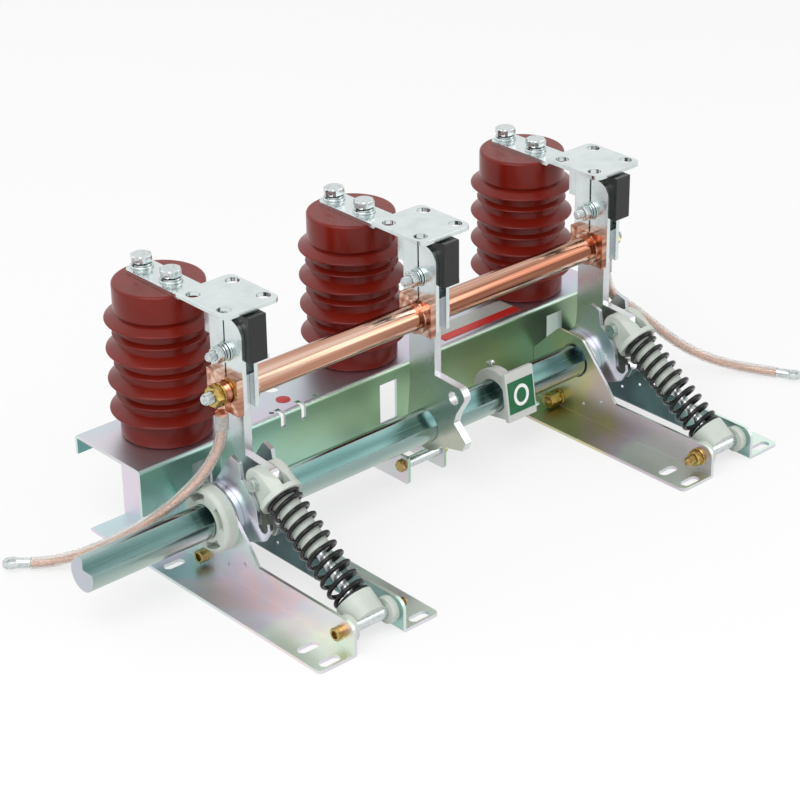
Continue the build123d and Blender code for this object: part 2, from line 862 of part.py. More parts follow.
# Copper link: clamp plates, two tubes with end rings, one tie rod with nuts
for phase, phase_x in phases.items():
    with BuildPart() as clamp:
        with BuildSketch(shaft_view(phase_x - pack_half)):
            with Locations(((clamp_front + clamp_rear) / 2, link_up)):
                Rectangle(clamp_front - clamp_rear, clamp_height)
            with Locations((0, link_up)):
                Circle(link_rod_radius + air, mode=Mode.SUBTRACT)
        extrude(amount=clamp_thickness)
    save(clamp.part, f"link_clamp_{phase}")
link_y = shaft_y
link_z = shaft_z + link_up
tube_length = phase_pitch - 2 * pack_half - clamp_thickness
for side_name, start_x in (("left", -phase_pitch + pack_half), ("right", pack_half)):
    with BuildPart() as tube:
        with BuildSketch(Plane.XY):
            Circle(tube_outer)
        extrude(amount=tube_length)
        with BuildSketch(Plane.XY):
            Circle(tube_ring_radius)
        extrude(amount=tube_ring_length)
        with BuildSketch(Plane.XY.offset(tube_length)):
            Circle(tube_ring_radius)
        extrude(amount=-tube_ring_length)
        with BuildSketch(Plane.XY):
            Circle(tube_bore)
        extrude(amount=tube_length, mode=Mode.SUBTRACT)
    save(along_x(start_x, link_y, link_z) * tube.part, f"link_tube_{side_name}")
with BuildPart() as tie_rod:
    with BuildSketch(shaft_view(phase_pitch + rod_right)):
        with Locations((0, link_up)):
            Circle(link_rod_radius)
    extrude(amount=2 * phase_pitch + rod_right - rod_left)
save(tie_rod.part, "link_rod")
rod_ends = (
    (-phase_pitch - pack_half - clamp_thickness, -1),
    (phase_pitch + pack_half, 1),
)
rod_washer = ring(link_rod_radius + air, link_washer_radius, link_washer)
save(
    collect(
        along_x(x + direction * lug_thickness, link_y, link_z, direction) * rod_washer
        for x, direction in rod_ends
    ),
    "link_washers",
)
save(
    collect(
        along_x(x + direction * (lug_thickness + link_washer), link_y, link_z, direction)
        * hexagon_nut(link_nut_size, link_nut)
        for x, direction in rod_ends
    ),
    "link_nuts",
)


# Spring pins through the lobes of the two outer arms
pin_y = shaft_y - pin_forward
pin_z = shaft_z + pin_up
with BuildPart() as spring_pins:
    for pair_x in spring_phases.values():
        with BuildSketch(shaft_view(pair_x + lever_inner + lever_thickness)):
            with Locations((pin_forward, pin_up)):
                Circle(pin_radius)
        extrude(amount=2 * (lever_inner + lever_thickness))
save(spring_pins.part, "spring_pins")

# Spring line from the pin on the knife to the front pivot
spring_run = hypot(pivot_y - pin_y, pivot_z - pin_z)
spring_forward = (0, (pivot_y - pin_y) / spring_run, (pivot_z - pin_z) / spring_run)
spring_axis = Axis((0, pin_y, pin_z), spring_forward)
guide_start = fork_shoulder + fork_disc_thickness


def on_spring_line(x, distance):
    return (x, pin_y + spring_forward[1] * distance, pin_z + spring_forward[2] * distance)


def spring_view(x):
    """Side view with its origin at the pin; local x runs down the spring line."""
    return Plane(origin=on_spring_line(x, 0), x_dir=spring_forward, z_dir=(-1, 0, 0))


def across_spring(x, distance):
    """Plane square to the spring line at a distance from the pin; local x is the world X."""
    return Plane(origin=on_spring_line(x, distance), x_dir=(1, 0, 0), z_dir=spring_forward)


# Nylon forks with the upper spring seat and the slotted guide tube
def spring_fork(x):
    with BuildPart() as fork:
        with BuildSketch(spring_view(x + fork_outer)):
            Circle(fork_nose_radius)
            with Locations((fork_shoulder - sheet / 2, (fork_shoulder_radius - fork_nose_radius) / 2)):
                Rectangle(sheet, fork_shoulder_radius + fork_nose_radius)
            make_hull()
        extrude(amount=2 * fork_outer)
        shoulder_edges = fork.faces().filter_by(spring_axis).edges()
        fillet(fork.faces().filter_by(Axis.X).edges() - shoulder_edges, fork_round)
        with BuildSketch(across_spring(x, -fork_nose_radius)):
            Circle(fork_shoulder_radius - fork_relief)
        extrude(amount=fork_nose_radius + fork_shoulder, mode=Mode.INTERSECT)
        with BuildSketch(spring_view(x + fork_inner)):
            with Locations(((fork_shoulder - fork_nose_radius) / 2, 0)):
                Rectangle(fork_shoulder + fork_nose_radius, 2 * fork_shoulder_radius)
        extrude(amount=2 * fork_inner, mode=Mode.SUBTRACT)
        with BuildSketch(across_spring(x, fork_shoulder)):
            Circle(fork_shoulder_radius)
        extrude(amount=fork_disc_thickness)
        with BuildSketch(across_spring(x, fork_shoulder)):
            Circle(guide_radius)
        extrude(amount=guide_end - fork_shoulder)
        with BuildSketch(across_spring(x, guide_start)):
            Circle(guide_bore_radius)
        extrude(amount=guide_end - guide_start, mode=Mode.SUBTRACT)
        with BuildSketch(spring_view(x + guide_slot_half)):
            with Locations(((guide_start + guide_end) / 2, -guide_radius / 2)):
                Rectangle(guide_end - guide_start, guide_radius)
        extrude(amount=2 * guide_slot_half, mode=Mode.SUBTRACT)
        with BuildSketch(spring_view(x + fork_outer)):
            Circle(pin_radius + running)
        extrude(amount=2 * fork_outer, mode=Mode.SUBTRACT)
    return fork.part


# Lower seats that rest on the pivot sleeves, each with its guide rod
def spring_seat(x):
    rod_socket = seat_start + seat_socket_depth
    with BuildPart() as seat:
        with BuildSketch(across_spring(x, seat_start)):
            Circle(seat_radius)
        extrude(amount=spring_run - seat_start)
        block_start = seat_start + seat_disc_thickness
        with BuildSketch(spring_view(x + seat_radius)):
            with Locations(((block_start + spring_run) / 2, -(seat_radius + seat_underside) / 2)):
                Rectangle(spring_run - block_start, seat_radius - seat_underside)
        extrude(amount=2 * seat_radius, mode=Mode.SUBTRACT)
        with BuildSketch(spring_view(x + seat_radius)):
            with Locations((spring_run, 0)):
                Circle(pivot_sleeve_radius + running)
        extrude(amount=2 * seat_radius, mode=Mode.SUBTRACT)
        with BuildSketch(across_spring(x, seat_start)):
            Circle(rod_radius + air)
        extrude(amount=rod_socket - seat_start, mode=Mode.SUBTRACT)
    return seat.part


def guide_rod(x):
    with BuildPart() as rod:
        with BuildSketch(across_spring(x, rod_tip)):
            Circle(rod_radius)
        extrude(amount=seat_start + seat_socket_depth - rod_tip)
        chamfer(rod.edges().filter_by(GeomType.CIRCLE).sort_by(Axis.Z)[-1], rod_tip_chamfer)
    return rod.part


def coil_spring(x):
    start = guide_start + spring_wire / 2
    height = seat_start - spring_wire / 2 - start
    coil_radius = spring_outer_radius - spring_wire / 2
    with BuildPart() as spring:
        with BuildLine() as wire_path:
            first = on_spring_line(x, start)
            coil = Helix(height / spring_turns, height, coil_radius, center=first, direction=spring_forward)
        with BuildSketch(Plane(origin=coil @ 0, z_dir=coil % 0)):
            RegularPolygon(spring_wire / 2, spring_wire_sides)
        sweep(is_frenet=True)
    return spring.part


for side_name, pair_x in spring_phases.items():
    save(spring_fork(pair_x), f"spring_fork_{side_name}")
    save(spring_seat(pair_x), f"spring_seat_{side_name}")
    save(guide_rod(pair_x), f"guide_rod_{side_name}")
    save(coil_spring(pair_x), f"spring_{side_name}")


# Front pivots: spacers and sleeve between the brackets
spacer = ring(pivot_bolt_radius + air, pivot_spacer_radius, pivot_spacer_length)
save(
    collect(
        along_x(x + direction * bracket_half_gap, pivot_y, pivot_z, -direction) * spacer
        for x in spring_phases.values()
        for direction in (-1, 1)
    ),
    "pivot_spacers",
)
sleeve_half = bracket_half_gap - pivot_spacer_length
pivot_sleeve = ring(pivot_bolt_radius + air, pivot_sleeve_radius, 2 * sleeve_half)
save(
    collect(along_x(x - sleeve_half, pivot_y, pivot_z) * pivot_sleeve for x in spring_phases.values()),
    "pivot_sleeves",
)

# Bolts through both brackets of a pair: cap screws on the left, hexagon bolts and washers on the right
def cap_screw(grip):
    """Round head with a hexagon socket above z = 0, shank below."""
    with BuildPart(mode=Mode.PRIVATE) as screw:
        with BuildSketch(Plane.XY):
            Circle(cap_head_radius)
        extrude(amount=cap_head_height)
        chamfer(screw.edges().group_by(Axis.Z)[-1], cap_head_chamfer)
        with BuildSketch(Plane.XY.offset(cap_head_height)):
            RegularPolygon(cap_socket_flats / 2, 6, major_radius=False)
        extrude(amount=-cap_socket_depth, mode=Mode.SUBTRACT)
        with BuildSketch(Plane.XY):
            Circle(bracket_bolt["radius"])
        extrude(amount=-grip)
    return screw.part


left_x, right_x = spring_phases.values()
bolt_seats = ((pivot_y, pivot_z), (tie_bolt_y, tie_bolt_z))
nut_face = right_x - half_pair - bracket_washer_thickness
screws = [
    along_x(left_x - half_pair, y, z, -1) * cap_screw(2 * half_pair + cap_screw_tail) for y, z in bolt_seats
]
bolts = [
    along_x(right_x + half_pair, y, z) * hexagon_bolt(bracket_bolt, 2 * half_pair + bracket_bolt_tail)
    for y, z in bolt_seats
]
save(collect(screws + bolts), "bracket_bolts")
bracket_washer = ring(pivot_bolt_radius + air, bracket_washer_radius, bracket_washer_thickness)
save(
    collect(along_x(right_x - half_pair, y, z, -1) * bracket_washer for y, z in bolt_seats),
    "bracket_washers",
)
slim_nuts = [along_x(left_x + half_pair, y, z) * hexagon_nut(bracket_bolt, slim_nut) for y, z in bolt_seats]
nut_seats = [(nut_face, y, z) for y, z in bolt_seats] + [(nut_face - bracket_nut, tie_bolt_y, tie_bolt_z)]
full_nuts = [along_x(x, y, z, -1) * hexagon_nut(bracket_bolt, bracket_nut) for x, y, z in nut_seats]
save(collect(slim_nuts + full_nuts), "bracket_nuts")

# Stop for the middle arm: two ears on the web with a sleeve between them
with BuildPart() as stop_bracket:
    ear_outer = stop_sleeve_half + sheet
    with BuildSketch(Plane.XY.offset(stop_ear_bottom)):
        with Locations((0, web_front - sheet / 2)):
            Rectangle(2 * ear_outer, sheet)
        for direction in (-1, 1):
            with Locations((direction * (stop_sleeve_half + sheet / 2), (web_front + stop_ear_front) / 2)):
                Rectangle(sheet, web_front - stop_ear_front)
    extrude(amount=stop_ear_top - stop_ear_bottom)
    front_edges = stop_bracket.edges().filter_by(Axis.X).group_by(Axis.Y)[0]
    fillet(front_edges, stop_ear_radius)
    with BuildSketch(Plane(origin=(ear_outer, stop_y, stop_z), x_dir=(0, -1, 0), z_dir=(-1, 0, 0))):
        Circle(stop_bolt["radius"] + air)
    extrude(amount=2 * ear_outer, mode=Mode.SUBTRACT)
save(stop_bracket.part, "stop_bracket")
stop_sleeve = ring(stop_bolt["radius"] + air, stop_sleeve_radius, 2 * stop_sleeve_half)
save(along_x(-stop_sleeve_half, stop_y, stop_z) * stop_sleeve, "stop_sleeve")
stop_face = stop_sleeve_half + sheet
stop_grip = 2 * stop_face + stop_nut + gap
save(
    collect(
        (
            along_x(-stop_face, stop_y, stop_z, -1) * hexagon_bolt(stop_bolt, stop_grip),
            along_x(stop_face, stop_y, stop_z) * hexagon_nut(stop_bolt, stop_nut),
        )
    ),
    "stop_bolt",
)

# Position indicator: tilted block with a front face, clamped by a narrower ring and a screw
indicator_right = indicator_left + indicator_width
ring_right = indicator_left + indicator_ring_start + indicator_ring_width
screw_x = ring_right - indicator_ring_width / 2
screw_angle = radians(indicator_screw_angle)
screw_up = (0, -cos(screw_angle), sin(screw_angle))
screw = hexagon_bolt(indicator_screw, indicator_ring_radius - shaft_radius - gap)
with BuildPart() as indicator:
    tilt = Rot(0, 0, indicator_tilt)
    block_middle = tilt * Pos((indicator_front + indicator_back) / 2, 0)
    with BuildSketch(shaft_view(indicator_right)) as block_side:
        with Locations(block_middle):
            Rectangle(indicator_front - indicator_back, 2 * indicator_half_height)
        fillet(block_side.vertices(), indicator_corner)
    extrude(amount=indicator_width)
    with BuildSketch(shaft_view(ring_right)):
        Circle(indicator_ring_radius)
    extrude(amount=indicator_ring_width)
    with BuildSketch(shaft_view(indicator_right)):
        shaft_section(air)
    extrude(amount=indicator_width, mode=Mode.SUBTRACT)
    with BuildSketch(shaft_view(indicator_left)):
        Circle(indicator_recess_radius)
    extrude(amount=-indicator_recess_depth, mode=Mode.SUBTRACT)
    with BuildSketch(Plane(origin=(screw_x, shaft_y, shaft_z), x_dir=(1, 0, 0), z_dir=screw_up)):
        Circle(indicator_screw["radius"] + air)
    extrude(amount=indicator_ring_radius, mode=Mode.SUBTRACT)
save(indicator.part, "indicator")
screw_seat = Vector(screw_x, shaft_y, shaft_z) + Vector(*screw_up) * indicator_ring_radius
save(Plane(origin=screw_seat, x_dir=(1, 0, 0), z_dir=screw_up).location * screw, "indicator_screw")


# Earthing leads: lug on the rod end, round braid in a sleeve, ring terminal at the free end
def lead_lug(palm_x, direction):
    """Flat palm on the rod with a barrel below it; palm_x is the face nearest the knife."""
    with BuildPart() as lug:
        with BuildSketch(elevation(max(palm_x, palm_x + direction * lug_thickness))):
            with Locations((-link_y, link_z)):
                Circle(lug_palm_radius)
            with Locations((-link_y, (link_z + lug_barrel_bottom) / 2)):
                Rectangle(2 * lead_radius, link_z - lug_barrel_bottom)
            with Locations((-link_y, link_z)):
                Circle(link_rod_radius + air, mode=Mode.SUBTRACT)
        extrude(amount=lug_thickness)
        with BuildSketch(Plane.XY.offset(lug_barrel_bottom)):
            with Locations((palm_x + direction * lead_from_palm, link_y)):
                Circle(lug_barrel_radius)
        extrude(amount=lug_barrel_length)
    return lug.part


def lead(route):
    """Round tube along straight runs joined by arcs as large as the runs allow."""
    points = [Vector(*point) for point in route]
    runs = [end - start for start, end in zip(points, points[1:])]
    radii = []
    for before, after in zip(runs, runs[1:]):
        half_turn = radians(before.get_angle(after)) / 2
        radii.append(lead_arc_share * min(before.length, after.length) / tan(half_turn))
    with BuildPart() as tube:
        with BuildLine():
            path = FilletPolyline(*points, radius=radii)
        with BuildSketch(Plane(origin=path @ 0, z_dir=path % 0)):
            Circle(lead_radius)
        sweep()
    share = tube.part.volume / (pi * lead_radius**2 * path.length)
    print(f"lead {path.length:.0f} mm long, volume over section times length {share:.4f}")
    print("radii", [round(radius) for radius in radii])
    return tube.part


def ring_terminal(before, end):
    """Barrel that carries on the last run of a lead, and a flat ring beyond it."""
    along = (Vector(*end) - Vector(*before)).normalized()
    with BuildPart() as terminal_ring:
        with BuildSketch(Plane(origin=end, z_dir=along)):
            Circle(ring_barrel_radius)
        extrude(amount=ring_reach - ring_hole_radius)
        with BuildSketch(Plane(origin=end).offset(-ring_thickness / 2)):
            with Locations(along * ring_reach):
                Circle(ring_outer_radius)
        extrude(amount=ring_thickness)
        with BuildSketch(Plane(origin=end).offset(-ring_barrel_radius)):
            with Locations(along * ring_reach):
                Circle(ring_hole_radius)
        extrude(amount=2 * ring_barrel_radius, mode=Mode.SUBTRACT)
    return terminal_ring.part


lead_starts = {
    side_name: (palm_x + direction * lead_from_palm, link_y, lug_barrel_bottom)
    for side_name, (palm_x, direction) in zip(("left", "right"), rod_ends)
}
for side_name, start in lead_starts.items():
    save(lead((start,) + lead_points[side_name]), f"earth_lead_{side_name}")
save(collect(lead_lug(palm_x, direction) for palm_x, direction in rod_ends), "lead_lugs")
save(collect(ring_terminal(*route[-2:]) for route in lead_points.values()), "lead_rings")
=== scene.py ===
"""Looks of a three-phase earthing switch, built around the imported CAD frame, in metres."""
from collections import namedtuple
from math import cos, pi, radians, sin, sqrt, tau

import bmesh
import bpy
from mathutils import Matrix, Vector


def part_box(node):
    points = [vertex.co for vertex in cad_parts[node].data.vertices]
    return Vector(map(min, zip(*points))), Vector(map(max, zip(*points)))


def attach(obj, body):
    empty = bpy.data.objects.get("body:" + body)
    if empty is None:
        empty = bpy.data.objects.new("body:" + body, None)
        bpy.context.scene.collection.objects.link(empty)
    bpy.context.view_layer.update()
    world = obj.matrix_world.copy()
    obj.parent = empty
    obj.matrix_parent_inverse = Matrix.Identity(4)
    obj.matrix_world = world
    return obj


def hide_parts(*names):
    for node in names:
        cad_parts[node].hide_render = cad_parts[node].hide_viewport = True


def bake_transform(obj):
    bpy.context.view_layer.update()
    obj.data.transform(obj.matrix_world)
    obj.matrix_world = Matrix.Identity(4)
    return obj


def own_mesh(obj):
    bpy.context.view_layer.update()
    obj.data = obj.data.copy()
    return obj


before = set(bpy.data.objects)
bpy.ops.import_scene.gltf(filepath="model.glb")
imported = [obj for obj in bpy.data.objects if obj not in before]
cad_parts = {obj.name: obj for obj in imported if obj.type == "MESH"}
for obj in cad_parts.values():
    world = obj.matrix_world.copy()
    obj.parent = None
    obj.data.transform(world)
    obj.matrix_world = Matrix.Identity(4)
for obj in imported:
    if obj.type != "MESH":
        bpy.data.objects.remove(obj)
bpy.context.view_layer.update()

# Camera: stands in front of the switch, to its left and above it, where the photograph was
# taken from. It looks down at 27 degrees through a long lens.
mm = 0.001
eye = Vector((-1265.82, -1321.9, 1050.09)) * mm
heading, down, roll = radians(41.610), radians(27.424), radians(-0.825)
picture_side = 800
lens_axis_x, lens_axis_y = 399.15, 403.99
camera_data = bpy.data.cameras.new("camera")
camera_data.lens = 108.5
camera_data.sensor_width = 36
camera_data.shift_x = (picture_side / 2 - lens_axis_x) / picture_side
camera_data.shift_y = (lens_axis_y - picture_side / 2) / picture_side
camera_data.clip_end = 100
camera = bpy.data.objects.new("camera", camera_data)
turn = Matrix.Rotation(-heading, 4, "Z") @ Matrix.Rotation(pi / 2 - down, 4, "X")
turn @= Matrix.Rotation(roll, 4, "Z")
camera.matrix_world = Matrix.Translation(eye) @ turn
bpy.context.scene.collection.objects.link(camera)
bpy.context.scene.camera = camera
bpy.context.scene.view_settings.view_transform = "Standard"

# Earthing leads: flexible copper braid, twisted and plaited from fine wires, drawn into a clear
# PVC sleeve. The braid is narrower than the sleeve and lies low in it, and shows pink through it.
# A heat-shrink collar closes the sleeve over the barrel of each lug.
lead_radius = 5.0 * mm
sleeve_bore_radius = 4.1 * mm
tube_sides = 24
braid_radius = 3.1 * mm
braid_sink = 0.8 * mm
strands_each_way = 7
strand_lay = 17 * mm
strand_width, strand_thickness = 1.5 * mm, 0.55 * mm
strand_outline = ((-1, 0), (-0.5, 0.9), (0.5, 0.9), (1, 0), (0, -0.8))
second_way_start = 0.3
core_sides, core_radius = 12, braid_radius - 1.4 * strand_thickness
collar_reach, collar_thickness, barrel_rise = 9 * mm, 0.8 * mm, 4.5 * mm
lead_routes = {
    "left": (
        (-227, 64, 143), (-227, 64, 128), (-234.5, 67, 108.5), (-249, 72.5, 90), (-268, 81, 73),
        (-286.5, 96.5, 54.5), (-304.5, 122.5, 33), (-321, 152, 14), (-337, 171, 6), (-347, 180, 6),
    ),
    "right": (
        (221, 64, 143), (221, 64, 127), (229.5, 63, 109), (252.5, 60, 90), (282.5, 55.5, 62),
        (311, 48.5, 35), (335, 36.5, 18), (354, 20, 9), (371, -1.5, 5.5), (379, -17, 5.5),
    ),
}
edge_angle = radians(32)
in_place = Matrix.Identity(4)


def colour(hex_code):
    """An sRGB hex colour as a linear RGBA tuple."""
    shares = [int(hex_code[i : i + 2], 16) / 255 for i in (1, 3, 5)]
    return tuple(s / 12.92 if s <= 0.04045 else ((s + 0.055) / 1.055) ** 2.4 for s in shares) + (1.0,)


def add_node(tree, kind, inputs=(), stops=(), **settings):
    """A shader node. inputs pairs a socket with a value or with the output that feeds it, and
    stops are the places and hex colours of a colour ramp."""
    node = tree.nodes.new("ShaderNode" + kind)
    for setting, value in settings.items():
        setattr(node, setting, value)
    for socket, value in dict(inputs).items():
        if isinstance(value, bpy.types.NodeSocket):
            tree.links.new(value, node.inputs[socket])
        else:
            node.inputs[socket].default_value = value
    if stops:
        elements = node.color_ramp.elements
        while len(elements) < len(stops):
            elements.new(0.5)
        for element, (place, hex_code) in zip(elements, stops):
            element.position = place
            element.color = colour(hex_code)
    return node


def new_finish(name, **sockets):
    """A material with its Principled shader's sockets set; gives the material, its tree and shader."""
    finish = bpy.data.materials.new(name)
    finish.use_nodes = True
    shader = finish.node_tree.nodes["Principled BSDF"]
    for socket, value in sockets.items():
        shader.inputs[socket.replace("_", " ")].default_value = value
    return finish, finish.node_tree, shader


def mottle(tree, shader, size, detail, tints):
    """Colours a finish through tints that change in clouds of a size; gives the clouds."""
    place = add_node(tree, "TexCoord").outputs["Object"]
    clouds = add_node(tree, "TexNoise", {"Vector": place, "Scale": 1 / size, "Detail": detail})
    tint = add_node(tree, "ValToRGB", {"Fac": clouds.outputs["Fac"]}, tints)
    tree.links.new(tint.outputs["Color"], shader.inputs["Base Color"])
    return clouds.outputs["Fac"]


def shape(name, parts, finish, crease=edge_angle):
    """One object of several (corners, faces, seat) parts, smooth but for its creases."""
    corners, faces = [], []
    for part_corners, part_faces, seat in parts:
        faces += [tuple(len(corners) + i for i in face) for face in part_faces]
        corners += [seat @ Vector(corner) for corner in part_corners]
    mesh = bpy.data.meshes.new(name)
    mesh.from_pydata(corners, [], faces)
    mesh.validate()
    work = bmesh.new()
    work.from_mesh(mesh)
    bmesh.ops.recalc_face_normals(work, faces=work.faces)
    work.to_mesh(mesh)
    work.free()
    mesh.shade_smooth()
    mesh.set_sharp_from_angle(angle=crease)
    mesh.materials.append(finish)
    piece = bpy.data.objects.new(name, mesh)
    bpy.context.scene.collection.objects.link(piece)
    return piece


def skin(rings, sides, caps=True):
    """The faces that join rings of corners to a surface, and close its two ends with caps."""
    faces = []
    for ring in range(rings - 1):
        for step in range(sides):
            here, beside = ring * sides + step, ring * sides + (step + 1) % sides
            faces.append((here, beside, beside + sides, here + sides))
    if caps:
        faces += [tuple(range(sides)), tuple(range((rings - 1) * sides, rings * sides))]
    return faces


def line_through(name, points):
    """The points that a smooth curve, with these control points, passes through."""
    curve = bpy.data.curves.new(name, "CURVE")
    curve.dimensions = "3D"
    curve.resolution_u = 26
    spline = curve.splines.new("NURBS")
    spline.points.add(len(points) - 1)
    for control, point in zip(spline.points, points):
        control.co = (*(value * mm for value in point), 1)
    spline.order_u = 3
    spline.use_endpoint_u = True
    holder = bpy.data.objects.new(name, curve)
    mesh = bpy.data.meshes.new_from_object(holder)
    line = [vertex.co.copy() for vertex in mesh.vertices]
    bpy.data.objects.remove(holder)
    return line


def frames_on(line):
    """For each point of a line: the point, how far along it lies, and two directions square to it."""
    frames, along, side = [], 0.0, Vector((0, 1, 0))
    for index, point in enumerate(line):
        before, after = line[max(index - 1, 0)], line[min(index + 1, len(line) - 1)]
        forward = (after - before).normalized()
        side = (side - forward * side.dot(forward)).normalized()
        along += (point - before).length
        frames.append((point, along, side, forward.cross(side)))
    return frames


def let_down(point, side, across, drop):
    """A point of a line, moved square to it by drop, towards the floor."""
    forward, floorward = side.cross(across), Vector((0, 0, -1))
    return point + (floorward - forward * floorward.dot(forward)) * drop


def tube(frames, radius, sides=tube_sides, drop=0.0, caps=True):
    """A round tube on a line's frames, let down by drop where the line runs level."""
    corners = []
    for point, along, side, across in frames:
        middle = let_down(point, side, across, drop)
        for step in range(sides):
            angle = tau * step / sides
            corners.append(middle + (side * cos(angle) + across * sin(angle)) * radius)
    return corners, skin(len(frames), sides, caps)


def braid_strand(frames, start, way):
    """One flat strand of a braid, wound one way and weaving over and under the others."""
    corners = []
    for point, along, side, across in frames:
        angle = way * tau * along / strand_lay + start
        out = side * cos(angle) + across * sin(angle)
        beside = across * cos(angle) - side * sin(angle)
        weave = cos(angle * strands_each_way / 2) * strand_thickness / 2
        middle = let_down(point, side, across, braid_sink) + out * (braid_radius - strand_thickness + weave)
        for reach, rise in strand_outline:
            corners.append(middle + beside * reach * strand_width / 2 + out * rise * strand_thickness / 2)
    return corners, skin(len(frames), len(strand_outline), caps=False)


# Drawn copper wire: bare bright metal, warm pink, each wire of a strand a touch darker or lighter.
# A wire is 0.2 mm thick, too fine to show, so the tints change over 1.6 mm.
wire_tints = ((0.35, "#D98A66"), (0.5, "#EDB090"), (0.66, "#FBD9C2"))
braid_copper, tree, shader = new_finish("plaited_copper_wire", Metallic=1.0, Roughness=0.32)
wires = mottle(tree, shader, 1.6 * mm, 3.0, wire_tints)
bump = add_node(tree, "Bump", {"Height": wires, "Strength": 0.3, "Distance": 0.1 * mm})
tree.links.new(bump.outputs["Normal"], shader.inputs["Normal"])

# Extruded plasticised PVC, clear and glossy, a little hazy where hands have held it.
clear_pvc, tree, shader = new_finish("clear_pvc_sleeve", IOR=1.53, Transmission_Weight=0.82, Roughness=0.1)
shader.inputs["Base Color"].default_value = colour("#FAF6F2")
place = add_node(tree, "TexCoord").outputs["Object"]
haze = add_node(tree, "TexNoise", {"Vector": place, "Scale": 1 / (9 * mm), "Detail": 3.0}).outputs["Fac"]
worn = add_node(tree, "MapRange", {"Value": haze, "To Min": 0.05, "To Max": 0.2})
tree.links.new(worn.outputs["Result"], shader.inputs["Roughness"])

# Heat-shrink over the lug's barrel: polyolefin, shrunk grey and half clear, with soft folds.
shrink_tints = ((0.35, "#B3B1AC"), (0.65, "#CBC9C3"))
shrink_grey, tree, shader = new_finish("grey_heat_shrink", IOR=1.5, Roughness=0.3, Transmission_Weight=0.25)
folds = mottle(tree, shader, 3 * mm, 2.0, shrink_tints)
bump = add_node(tree, "Bump", {"Height": folds, "Strength": 0.25, "Distance": 0.3 * mm})
tree.links.new(bump.outputs["Normal"], shader.inputs["Normal"])

for side_name, route in lead_routes.items():
    line = line_through(f"lead_line_{side_name}", route)
    frames = frames_on(line)
    outer_corners, outer_faces = tube(frames, lead_radius, caps=False)
    inner_corners, inner_faces = tube(frames, sleeve_bore_radius, caps=False)
    outer_count = len(outer_corners)
    sleeve_faces = outer_faces + [tuple(i + outer_count for i in reversed(face)) for face in inner_faces]
    for rim in (outer_count - tube_sides, 0):
        for step in range(tube_sides):
            here, beside = rim + step, rim + (step + 1) % tube_sides
            sleeve_faces.append((here, beside, beside + outer_count, here + outer_count))
    sleeve_part = (outer_corners + inner_corners, sleeve_faces, in_place)
    sleeve = shape(f"lead_sleeve_{side_name}", [sleeve_part], clear_pvc)
    inside = frames[1:-1]
    braid_parts = [(*tube(inside, core_radius, core_sides, braid_sink), in_place)]
    for way, way_start in ((-1, 0), (1, second_way_start)):
        for count in range(strands_each_way):
            start = tau * count / strands_each_way + way_start
            braid_parts.append((*braid_strand(inside, start, way), in_place))
    braid = shape(f"lead_braid_{side_name}", braid_parts, braid_copper, radians(60))
    barrel_top = Vector(route[0]) * mm + Vector((0, 0, barrel_rise))
    collar_line = [barrel_top, *(point for point, along, side, across in frames if along < collar_reach)]
    collar_part = (*tube(frames_on(collar_line), lead_radius + collar_thickness), in_place)
    collar = shape(f"lead_shrink_{side_name}", [collar_part], shrink_grey)
    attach(collar, "knife")
    foot, head = Vector(route[-2]) * mm, Vector(route[1]) * mm
    for piece in (sleeve, braid):
        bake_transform(piece)
    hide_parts(f"earth_lead_{side_name}")

# Cross beam, side brackets and stop bracket: 3 mm mild steel, laser cut, bent, zinc plated and
# passivated. The passivation film is so thin that it shows pale green, pink and violet
# interference, which drifts across each sheet and differs from face to face.
phases = {"left": -210, "middle": 0, "right": 210}
sides = ("left", "right")
flat = (0, 0, 0)
sheet_edge = 0.8 * mm
weld_reach = 0.01 * mm


